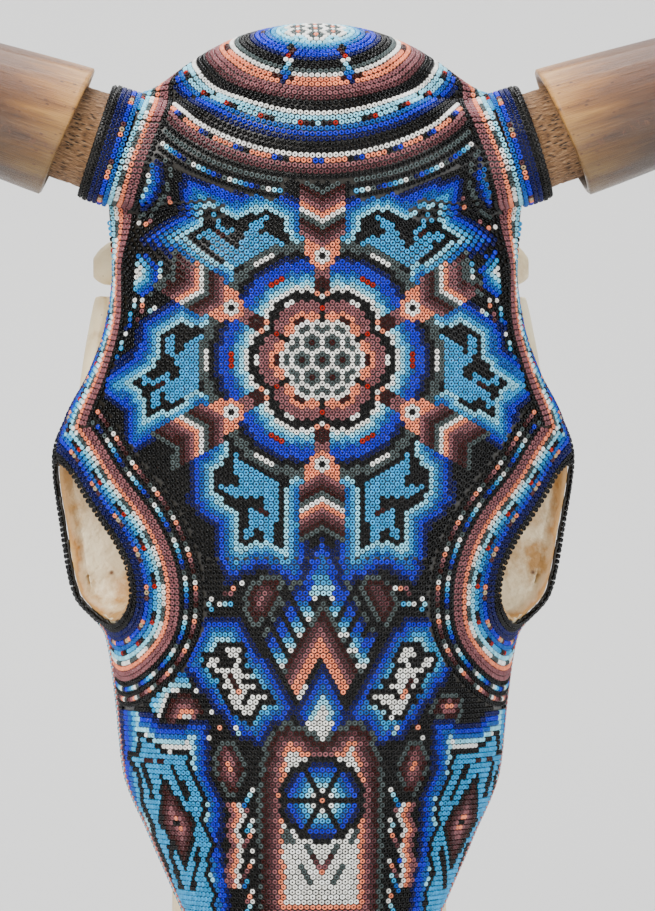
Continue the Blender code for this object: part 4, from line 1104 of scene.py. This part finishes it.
def socket_material():
    """The socket's bone: cream, yellow-brown towards its rim, with clouds of stain and a rough relief.
    Painted shade turns it dark brown deep in the socket, browner towards its top under the brow, and dark
    in its small pits."""
    paint = Surface("socket_bone")
    coords = paint.coords()
    cloud = paint.texture("Noise", 34.0, coords, Detail=8.0, Roughness=0.62)
    depth = paint.drifted(cloud, 0.34, paint.split(paint.coords("UV"))["Y"])
    # painted shade: the ramp runs to dark brown deep in the socket, where shade falls in the hollow
    body = paint.ramp(depth, (
        (0.13, (206, 164, 100)), (0.21, (168, 116, 54)), (0.29, (232, 216, 180)), (0.62, (222, 204, 168)),
        (0.86, (188, 152, 104)), (1.1, (120, 84, 48))))
    stain = paint.fade(cloud, 0.50, 0.62)
    body = paint.mixed(stain, body, (172, 128, 72))
    height = paint.drifted(cloud, 0.03, paint.split(coords)["Z"])
    # painted shade: the lining's upper part, under the brow, is mixed towards brown
    body = paint.mixed(paint.mapped(height, from_min=-0.139, from_max=-0.112), body, (150, 112, 62))
    # painted shade: small pits are darkened to brown, as shade in their hollows
    pit = paint.texture("Voronoi", 90.0, coords)
    hole = paint.fade(pit, 0.12, 0.03)
    paint.plug(paint.mixed(hole, body, (96, 62, 32)), "Base Color")
    rough = paint.texture("Noise", 190.0, coords, Detail=6.0)
    paint.bumped(paint.mixed(0.5, cloud, rough), 0.004, 0.8)
    return paint.material


def core_material():
    """The horn core's bone: tan and brown, with lengthwise grooves and many pits, darkened in clusters with
    painted shade in their hollows.
    """
    paint = Surface("pitted_core_bone", 0.7)
    uv = paint.coords("UV")
    grain = paint.texture("Noise", 4.0, paint.scaled(uv, (30.0, 6.0, 1.0)), Detail=7.0, Roughness=0.7)
    body = paint.ramp(grain, ((0.36, (62, 40, 24)), (0.5, (142, 100, 60)), (0.64, (190, 152, 112))))
    # painted shade: the pits are darkened to near black, as shade in their hollows, where the patch noise
    # lets them
    pits = paint.texture("Voronoi", 1.0, paint.scaled(uv, (64.0, 40.0, 1.0)))
    hole = paint.fade(pits, 0.44, 0.16)
    patch = paint.texture("Noise", 3.0, paint.scaled(uv, (9.0, 6.0, 1.0)), Detail=3.0)
    where = paint.fade(patch, 0.38, 0.5)
    dark = paint.mixed(1.0, hole, where, "MULTIPLY")
    paint.plug(paint.mixed(dark, body, (30, 18, 12)), "Base Color")
    paint.bumped(paint.mixed(dark, grain, (0, 0, 0)), 0.0022, 0.9)
    return paint.material


def horn_material():
    """The sheath's keratin along its length: cream at the mouth, rose-brown, then olive-grey and a dark
    tip, with fine lengthwise streaks, rows of short brown marks, and a few thin cracks; round the horn, a
    painted highlight band near the top and painted shade that darkens it towards its underside."""
    paint = Surface("horn_keratin", 0.38)
    uv = paint.coords("UV")
    apart = paint.split(uv)
    drift = paint.texture("Noise", 2.0, paint.scaled(uv, (7.0, 2.0, 1.0)), Detail=4.0)
    body = paint.ramp(paint.drifted(drift, 0.22, apart["Y"]), (
        (0.10, (206, 166, 102)), (0.15, (160, 118, 66)), (0.20, (116, 82, 54)), (0.28, (92, 60, 42)),
        (0.42, (80, 52, 36)), (0.62, (60, 44, 32)), (0.95, (22, 18, 15))))
    # painted light: a lighter band near the top as a painted highlight, darker towards the underside as
    # painted shade
    painted_underside_shade = paint.ramp(apart["X"], (
        (0.0, (214, 190, 166)), (0.2, (255, 240, 222)), (0.36, (240, 222, 196)), (0.52, (170, 156, 116)),
        (0.72, (112, 106, 72)), (1.0, (84, 80, 58))))
    body = paint.mixed(0.85, body, painted_underside_shade, "MULTIPLY")
    streak = paint.texture("Noise", 5.0, paint.scaled(uv, (46.0, 2.2, 1.0)), Detail=6.0, Roughness=0.7)
    lines = paint.ramp(streak, ((0.36, (120, 84, 52)), (0.5, (236, 222, 196)), (0.66, (255, 250, 236))))
    body = paint.mixed(0.75, body, lines, "MULTIPLY")
    marks = paint.texture("Voronoi", 1.0, paint.scaled(uv, (42.0, 60.0, 1.0)))
    dots = paint.fade(marks, 0.24, 0.10)
    rows = paint.texture("Noise", 3.0, paint.scaled(uv, (14.0, 5.0, 1.0)), Detail=2.0)
    where = paint.fade(rows, 0.47, 0.53)
    body = paint.mixed(paint.mixed(1.0, dots, where, "MULTIPLY"), body, (72, 36, 10))
    split = paint.texture("Noise", 1.0, paint.scaled(uv, (5.0, 26.0, 1.0)), Detail=3.0)
    thin = paint.ramp(split, (
        (0.488, (0, 0, 0)), (0.496, (255, 255, 255)), (0.500, (255, 255, 255)), (0.508, (0, 0, 0))))
    rare = paint.fade(drift, 0.56, 0.62)
    thin = paint.mixed(1.0, thin, rare, "MULTIPLY")
    paint.plug(paint.mixed(thin, body, (84, 50, 24)), "Base Color")
    paint.bumped(streak, 0.0012, 0.55)
    paint.shader.inputs["Coat Weight"].default_value = 0.15
    return paint.material


def enamel_material():
    paint = Surface("tooth_enamel", 0.28)
    coords = paint.coords()
    band = paint.texture("Noise", 60.0, paint.scaled(coords, (1.0, 0.4, 1.0)), Detail=5.0)
    paint.plug(paint.ramp(band, ((0.3, (120, 92, 56)), (0.5, (214, 196, 152)), (0.7, (236, 226, 198)))),
               "Base Color")
    paint.bumped(band, 0.0008, 0.5)
    return paint.material


# ---------------------------------------------------------------- what a user may change


class BeadSettings(PropertyGroup):
    size: FloatProperty(name="Bead Size", description="A bead's radius against its pitch", default=1.0,
                        min=0.8, max=1.02)
    tilt: FloatProperty(name="Tilt", description="How unevenly the beads sit", default=0.07, min=0.0, max=0.3)


def color_property(label, shown):
    return FloatVectorProperty(name=label, description=f"Colour of the {label.lower()}", subtype="COLOR",
                               size=3,
                               min=0.0, max=1.0, default=linear(shown))


class ColourSettings(PropertyGroup):
    black: color_property("Black Beads", (3, 3, 4))
    navy: color_property("Navy Beads", (4, 8, 74))
    cobalt: color_property("Cobalt Beads", (6, 24, 186))
    blue: color_property("Blue Beads", (4, 82, 164))
    turquoise: color_property("Turquoise Beads", (34, 148, 202))
    light: color_property("Light Blue Beads", (136, 212, 234))
    white: color_property("White Beads", (238, 236, 230))
    peach: color_property("Peach Beads", (238, 132, 94))
    mauve: color_property("Mauve Beads", (126, 78, 82))
    plum: color_property("Plum Beads", (78, 42, 46))
    maroon: color_property("Maroon Beads", (48, 8, 6))
    red: color_property("Red Beads", (150, 20, 6))
    grey: color_property("Grey Beads", (66, 76, 76))
    tan: color_property("Tan Beads", (170, 150, 118))
    wax: color_property("Wax", (26, 20, 8))


class StageSettings(PropertyGroup):
    distance: FloatProperty(name="Camera Distance", description="From the face to the camera", default=2.4,
                            min=0.5,
                            max=5.0, unit="LENGTH")
    turn: FloatProperty(name="Camera Turn", description="How far the camera stands to the left of the middle",
                        default=np.radians(1.8), subtype="ANGLE")
    light: FloatProperty(name="Light", description="Power of the main light in watts", default=104.0, min=0.0)


# ---------------------------------------------------------------- operators

# The face's bead pieces: name, first and last v, first and last |u|, and whether there is one on each side
FACE_PIECES = (
    ("dome", 17.9, 30, 0.0, 0.703, False), ("forehead", 13.1, 17.9, 0.0, 0.703, False),
    ("brow", 8.97, 13.1, 0.0, 0.403, False),
    ("nose", 4.45, 8.97, 0.0, 0.403, False), ("cheek", 4.45, 8.97, 0.403, 2.0, True),
    ("eye", 8.97, 13.1, 0.403, 2.0, True),
    ("temple", 13.1, 30, 0.703, 2.0, True), ("muzzle", -1, 4.45, 0.0, 2.0, True),
)


class BuildWax(Operator):
    """The layer of wax that holds the beads, on the face and round both collars"""

    bl_idname = "beaded_skull.wax"
    bl_label = "Wax"

    def execute(self, context):
        surface = wax_material(context.scene.bead_colours.wax)
        us, vs = np.linspace(-0.992, 0.992, 171), np.linspace(0.92, 25.88, 285)
        u, v = np.meshgrid(us, vs)
        place, normal, _, _ = chart_frame(u, v)
        swell = 0.12 * np.sin(u * 61) * np.sin(v * 17)
        points = place + normal * (WAX_LAYER + swell)[..., None]
        quads = grid_quads(*u.shape)
        middle_u, middle_v = (np.abs(grid.ravel()[quads].mean(axis=1)) for grid in (u, v))
        eye = np.stack(eye_outline(1.3, 120), -1) * (U_MM, V_MM)
        open_eye = in_polygon(np.stack([middle_u * U_MM, middle_v * V_MM], -1), eye)
        kept = quads[~open_eye & ~((middle_v < 4.44) & (middle_u < 0.565))]
        piece = new_piece("wax_face", points.reshape(-1, 3), kept, [surface])
        wall = piece.modifiers.new("Thickness", "SOLIDIFY")
        wall.thickness = 1.1 * MM
        wall.offset = -1
        finish_piece(piece, "skull", "wax", "wax_upper", "wax_lower", "wax_muzzle_left", "wax_muzzle_right")
        turn = np.linspace(0, 2 * np.pi, 96, endpoint=False)
        profile = ((-11.4, 0.6), (-11.4, 1.3), (-6, 1.5), (-1.2, 1.5), (-0.3, 1.3), (-0.1, 0.3), (-0.1, -0.4),
                   (-6, -0.2), (-11.4, 0.6))
        for side, label in SIDES:
            rings = np.array([horn_ring(turn, CORE_R + high, along) for along, high in profile]) * (side, 1,
                                                                                                    1)
            piece = new_piece(f"wax_collar_ring_{label}", rings.reshape(-1, 3),
                              grid_quads(len(profile), 96, wrap=True), [surface])
            turned_out(piece)
            finish_piece(piece, "skull", "wax", f"wax_collar_{label}")
        return {"FINISHED"}


class BuildBeads(Operator):
    """The beadwork: every bead of the face and the collars, row by row"""

    bl_idname = "beaded_skull.beads"
    bl_label = "Beads"

    def execute(self, context):
        settings, colours = context.scene.bead_settings, context.scene.bead_colours
        materials = bead_materials([getattr(colours, name) for name in NAMES])
        u, v, tone = lay_beads()
        place, normal, _, _ = chart_frame(u, v)
        centre = place + normal * BEAD_LAYER
        field = tone == FIELD
        tone[field] = field_colours(centre[field], v[field])
        for seed, (name, low, high, inner, outer, sided) in enumerate(FACE_PIECES):
            for side in (-1, 1) if sided else (0,):
                label = {-1: "_left", 0: "", 1: "_right"}[side]
                mine = (v >= low) & (v < high) & (np.abs(u) >= inner) & (np.abs(u) < outer)
                if side:
                    mine &= u * side > 0
                piece = scatter_beads(f"bead_rows_{name}{label}", centre[mine], normal[mine], tone[mine],
                                      materials,
                                      11 * seed + side + 3, settings.size, settings.tilt)
                finish_piece(piece, "skull", "glass_beads", f"beads_{name}{label}")
        axis, _ = horn_frame()
        for side, label in SIDES:
            centres, normals, tones = [], [], []
            for row in range(COLLAR_ROWS):
                turn = (np.arange(COLLAR_BEADS) + 0.5 * (row % 2)) * 2 * np.pi / COLLAR_BEADS - 0.5
                ring = horn_ring(turn, CORE_R + BEAD_LAYER - (0.5 if row == 0 else 0), -0.95 - row * 2.0)
                out = ring - (HORN_BASE + axis * (-0.95 - row * 2.0))
                out = out / np.linalg.norm(out, axis=1, keepdims=True) + (0.5 * axis if row == 0 else 0)
                centres.append(ring * (side, 1, 1))
                normals.append(out * (side, 1, 1))
                tones.append(np.array(BORDER[row])[np.arange(COLLAR_BEADS) % len(BORDER[row])])
            normals = np.concatenate(normals)
            normals /= np.linalg.norm(normals, axis=1, keepdims=True)
            piece = scatter_beads(f"bead_rows_collar_{label}", np.concatenate(centres), normals,
                                  np.concatenate(tones),
                                  materials, 90 + side, settings.size, settings.tilt)
            finish_piece(piece, "skull", "glass_beads", f"beads_collar_{label}")
        return {"FINISHED"}


def core_radius(along):
    """The core's radius past the sheath's mouth: a plain taper."""
    return 19.3 - 0.13 * np.asarray(along, float)


def sheath_path(along):
    """The sheath's middle line: straight over the core, then its heading turns up and to the front with the
    1.35th power of the length, and the line is the running sum of the headings."""
    fine = np.linspace(0, SHEATH_LENGTH, 400)
    bend = np.clip((fine - 62) / (SHEATH_LENGTH - 62), 0, 1) ** 1.35
    rise, forward = HORN_UP + np.radians(44) * bend, np.radians(26) * bend
    heading = np.stack([np.cos(rise) * np.cos(forward), -np.sin(forward), np.sin(rise) * np.cos(forward)], -1)
    steps = np.concatenate([np.zeros((1, 3)),
                            np.cumsum((heading[1:] + heading[:-1]) / 2, axis=0)]) * (fine[1] - fine[0])
    axis, _ = horn_frame()
    place = np.stack([np.interp(along, fine, steps[:, k]) for k in range(3)], -1) + HORN_BASE + axis * MOUTH
    way = np.stack([np.interp(along, fine, heading[:, k]) for k in range(3)], -1)
    return place, way / np.linalg.norm(way, axis=-1, keepdims=True)


def sheath_rings(turn, along, radius):
    """Rings square to the middle line, which lean at the mouth."""
    _, up = horn_frame()
    place, way = sheath_path(along)
    square_up = up - way * (way @ up)[:, None]
    square_up /= np.linalg.norm(square_up, axis=1, keepdims=True)
    square_front = np.cross(square_up, way)
    square_front *= np.sign(-square_front[:, 1])[:, None]
    across = np.cos(turn)[None, :, None] * square_front[:, None]
    across = across + np.sin(turn)[None, :, None] * square_up[:, None]
    ring = place[:, None] + radius[..., None] * across
    lean = np.tan(MOUTH_TILT) * np.clip(1 - along / 40, 0, 1)
    return ring - way[:, None] * (np.sin(turn)[None] * radius * lean[:, None])[..., None]


class BuildSheaths(Operator):
    """The two horn sheaths, hollow over their cores"""

    bl_idname = "beaded_skull.sheaths"
    bl_label = "Horn Sheaths"

    def execute(self, context):
        surface = horn_material()
        around = 120
        turn = np.linspace(0, 2 * np.pi, around, endpoint=False)
        along = np.concatenate([[0.0, 0.6, 2.0], np.linspace(5, SHEATH_LENGTH - 0.2, 110)])
        share = along / SHEATH_LENGTH
        radius = MOUTH_R * (1 - share**1.25) ** 0.85 * (1 - 0.10 * share) + 2.2 * share
        radius[0] -= 0.9
        ripple = 1 - 0.004 - 0.004 * np.sin(turn * 17)[None] * np.sin(along / 23)[:, None] ** 2
        outer = sheath_rings(turn, along, radius[:, None] * ripple)
        deep = np.linspace(0, 115, 40)
        hollow = core_radius(np.minimum(deep, 112)) + 0.7 + 3.6 * np.clip(1 - deep / 30, 0, 1)
        axis, _ = horn_frame()
        inner = np.array([horn_ring(turn, r, MOUTH + a) for r, a in zip(hollow, deep)])
        lean = np.tan(MOUTH_TILT) * np.clip(1 - deep / 40, 0, 1) * hollow
        inner -= axis * (np.sin(turn)[None] * lean[:, None])[..., None]
        rings = np.concatenate([drawn_to_point(outer[-1]), outer[::-1], inner, drawn_to_point(inner[-1])])
        for side, label in SIDES:
            piece = new_piece(f"sheath_{label}", (rings * (side, 1, 1)).reshape(-1, 3),
                              grid_quads(len(rings), around, wrap=True), [surface])
            lengths = np.concatenate([[1.0], share[::-1], deep / SHEATH_LENGTH, [0.45]])
            across = np.tile(np.abs((turn / (2 * np.pi) + 0.25) % 1 - 0.5) * 2, len(rings))
            with_uv(piece, across, np.repeat(lengths, around))
            turned_out(piece)
            finish_piece(piece, f"sheath_{label}", "horn", f"horn_sheath_{label}")
        return {"FINISHED"}


class BuildCores(Operator):
    """The pitted bone cores that the sheaths sit on"""

    bl_idname = "beaded_skull.cores"
    bl_label = "Horn Cores"

    def execute(self, context):
        surface = core_material()
        around = 120
        turn = np.linspace(0, 2 * np.pi, around, endpoint=False)
        along = np.concatenate([[-11.6, -1.0, 0.2, 1.5], np.linspace(3, 116, 90), [119.5, 122, 123]])
        radius = np.interp(along, [-11.6, -1, 0.2, 11], [19.9, 19.9, 19.4, 19.2])
        radius = np.where(along > 11, core_radius(along - 11), radius)
        radius = np.where(along > 115, core_radius(104) * np.sqrt(np.clip(1 - ((along - 115) / 8.2) ** 2,
                                                                          0.01, 1)), radius)
        chance = np.random.default_rng(5)
        rough = chance.normal(0, 0.25, (len(along), around)) * np.clip(along, 0, 1)[:, None]
        groove = 0.35 * np.sin(turn * 23 + 3 * np.sin(turn * 5))[None] * np.clip(along / 4, 0, 1)[:, None]
        rings = horn_ring(turn[None], radius[:, None] - 0.35 - np.abs(rough) - np.abs(groove) * 0.6,
                          along[:, None] * np.ones(around))
        back = horn_ring(turn[None], np.full((2, around), 14.4),
                         np.array([[-19.8], [-11.7]]) * np.ones(around))
        rings = np.concatenate([drawn_to_point(back[0]), back, rings, drawn_to_point(rings[-1])])
        lengths = np.concatenate([[-0.1, -0.1, -0.05], along / 120, [1.03]])
        for side, label in SIDES:
            piece = new_piece(f"core_{label}", (rings * (side, 1, 1)).reshape(-1, 3),
                              grid_quads(len(rings), around, wrap=True), [surface])
            across = np.tile(np.abs(turn / np.pi - 1), len(rings))
            with_uv(piece, across, np.repeat(lengths, around))
            turned_out(piece)
            finish_piece(piece, "skull", "horn_core_bone", f"horn_core_{label}")
        return {"FINISHED"}


class BuildSockets(Operator):
    """The bone lining of both eye sockets, with its ragged rim"""

    bl_idname = "beaded_skull.sockets"
    bl_label = "Eye Sockets"

    def execute(self, context):
        surface = socket_material()
        around = 150
        chance = np.random.default_rng(8)
        ragged = np.convolve(np.tile(chance.normal(0, 1, around), 3), np.hanning(7) / 3.5,
                             "same")[around:-around] * 0.45
        deep = np.array([34.0, 74.0, 236.0])
        u0, v0 = eye_outline(0.9, around)
        lip = chart_point(u0, v0)
        _, normal, _, _ = chart_frame(u0, v0)
        rings = [lip + normal * 0.2]
        for offset, grow in ((0.0, -0.3), (-1.2, -0.9), (-3.0, -0.7), (-4.6, -0.2)):
            u, v = eye_outline(grow, around)
            place, normal, _, _ = chart_frame(u, v)
            rings.append(place + normal * (offset + ragged * (0.6 if offset > -4 else 0))[:, None])
        rim = rings[-1]
        for share in np.linspace(0.97, 0.06, 30):
            bulge = 1 + 0.25 * np.sin(np.pi * share)
            rough = 1 + 0.008 * np.sin(np.linspace(0, 2 * np.pi, around) * 5 + share * 9)
            rings.append(deep + (rim - deep) * share * bulge * rough[:, None])
        rings.append(np.repeat(deep[None], around, axis=0))
        rings = np.array(rings)
        for side, label in SIDES:
            piece = new_piece(f"socket_{label}", (rings * (side, 1, 1)).reshape(-1, 3),
                              grid_quads(len(rings), around, wrap=True)[:, :: -side], [surface])
            with_uv(piece, np.tile(np.linspace(0, 1, around), len(rings)),
                    np.repeat(np.linspace(0, 1, len(rings)), around))
            finish_piece(piece, "skull", "bone", f"lacrimal_{label}")
        return {"FINISHED"}


class FinishBones(Operator):
    """Bone and enamel on the skull's plates and teeth, with their facets smoothed"""

    bl_idname = "beaded_skull.bones"
    bl_label = "Bones and Teeth"

    def execute(self, context):
        bone = bone_material()
        enamel = enamel_material()
        replaced = ("lacrimal", "horn_", "wax", "beads")
        for name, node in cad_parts.items():
            if name.startswith(replaced):
                continue
            surface = enamel if name.startswith("cheek_tooth") else bone
            for slot in node.material_slots:
                slot.material = surface
            if name.startswith(("cheek_tooth", "zygomatic", "temporal", "occipital", "pterygoid")):
                weld = node.modifiers.new("Weld", "WELD")
                weld.merge_threshold = 0.00002
                smooth = node.modifiers.new("Smooth", "SUBSURF")
                smooth.levels = smooth.render_levels = 2
        return {"FINISHED"}


class BuildStage(Operator):
    """A pale floor that curves up behind, soft lights, and a level camera in front of the face"""

    bl_idname = "beaded_skull.stage"
    bl_label = "Stage"

    def execute(self, context):
        settings = context.scene.stage_settings
        floor_z = CAD_BOX[0][2] - 0.002
        s = np.linspace(0, 1, 60)
        y = np.concatenate([np.linspace(-9.0, 0.9, 20), 0.9 + 0.9 * np.sin(s * np.pi / 2), np.full(20, 1.8)])
        z = np.concatenate([np.zeros(20), 0.9 - 0.9 * np.cos(s * np.pi / 2),
                            np.linspace(0.95, 7.0, 20)]) + floor_z
        x = np.linspace(-10, 10, 12)
        grid = np.stack([np.broadcast_to(x, (len(y), 12)), np.broadcast_to(y[:, None], (len(y), 12)),
                         np.broadcast_to(z[:, None], (len(y), 12))], -1)
        paint = Surface("pale_backdrop", 0.9)
        noise = paint.texture("Noise", 1.2, Detail=2.0)
        paint.plug(paint.ramp(noise, ((0.3, (214, 214, 214)), (0.7, (220, 220, 219)))), "Base Color")
        behind = paint.nodes.new("ShaderNodeNewGeometry").outputs["Backfacing"]
        paint.plug(paint.mapped(behind, to_min=1.0, to_max=0.0), "Alpha")
        floor = new_piece("backdrop", grid.reshape(-1, 3) / MM + HOOK, grid_quads(len(y), 12),
                          [paint.material])
        for name, place, aim, size, power, tint in (
            ("key", (-1.1, -1.7, 1.25), (0, 0, -0.15), 1.3, 1.0, (1.0, 0.985, 0.96)),
            ("fill", (1.7, -1.5, 0.3), (0, 0, -0.15), 1.6, 0.42, (0.95, 0.98, 1.0)),
            ("top", (0.0, 0.5, 1.9), (0, 0, 0), 1.4, 0.7, (1.0, 1.0, 1.0)),
        ):
            data = bpy.data.lights.new(name, "AREA")
            data.size = size
            data.energy = settings.light * power
            data.color = tint
            lamp = bpy.data.objects.new(name, data)
            lamp.location = place
            lamp.rotation_euler = (Vector(aim) - Vector(place)).to_track_quat("-Z", "Y").to_euler()
            context.scene.collection.objects.link(lamp)
        world = bpy.data.worlds.new("studio")
        world.use_nodes = True
        world.node_tree.nodes["Background"].inputs["Color"].default_value = (0.9, 0.92, 0.95, 1.0)
        world.node_tree.nodes["Background"].inputs["Strength"].default_value = 0.24
        context.scene.world = world
        data = bpy.data.cameras.new("camera")
        data.sensor_width = 36.0
        data.lens = 36.0 * settings.distance / 0.346
        camera = bpy.data.objects.new("camera", data)
        left, ahead = np.sin(settings.turn), np.cos(settings.turn)
        camera.location = (0.0035 - settings.distance * left, -0.13 - settings.distance * ahead, -0.122)
        camera.rotation_euler = (np.pi / 2, 0, -settings.turn)
        context.scene.collection.objects.link(camera)
        context.scene.camera = camera
        return {"FINISHED"}


class SkullPanel(Panel):
    """The skull's pieces, each with its button"""

    bl_idname = "VIEW3D_PT_beaded_skull"
    bl_label = "Beaded Skull"
    bl_space_type = "VIEW_3D"
    bl_region_type = "UI"
    bl_category = "Beaded Skull"

    def draw(self, context):
        for settings in (context.scene.bead_settings, context.scene.bead_colours,
                         context.scene.stage_settings):
            for name in settings.bl_rna.properties.keys():
                if name not in ("rna_type", "name"):
                    self.layout.prop(settings, name)
        for operator in STEPS:
            self.layout.operator(operator.bl_idname)


STEPS = (FinishBones, BuildSockets, BuildCores, BuildSheaths, BuildWax, BuildBeads, BuildStage)
CLASSES = (BeadSettings, ColourSettings, StageSettings, *STEPS, SkullPanel)


def register():
    for item in CLASSES:
        bpy.utils.register_class(item)
    bpy.types.Scene.bead_settings = PointerProperty(type=BeadSettings)
    bpy.types.Scene.bead_colours = PointerProperty(type=ColourSettings)
    bpy.types.Scene.stage_settings = PointerProperty(type=StageSettings)


def unregister():
    del bpy.types.Scene.bead_settings, bpy.types.Scene.bead_colours, bpy.types.Scene.stage_settings
    for item in reversed(CLASSES):
        bpy.utils.unregister_class(item)


def main():
    register()
    bpy.ops.beaded_skull.bones()
    bpy.ops.beaded_skull.sockets()
    bpy.ops.beaded_skull.cores()
    bpy.ops.beaded_skull.sheaths()
    bpy.ops.beaded_skull.wax()
    bpy.ops.beaded_skull.beads()
    bpy.ops.beaded_skull.stage()


if __name__ == "__main__":
    main()
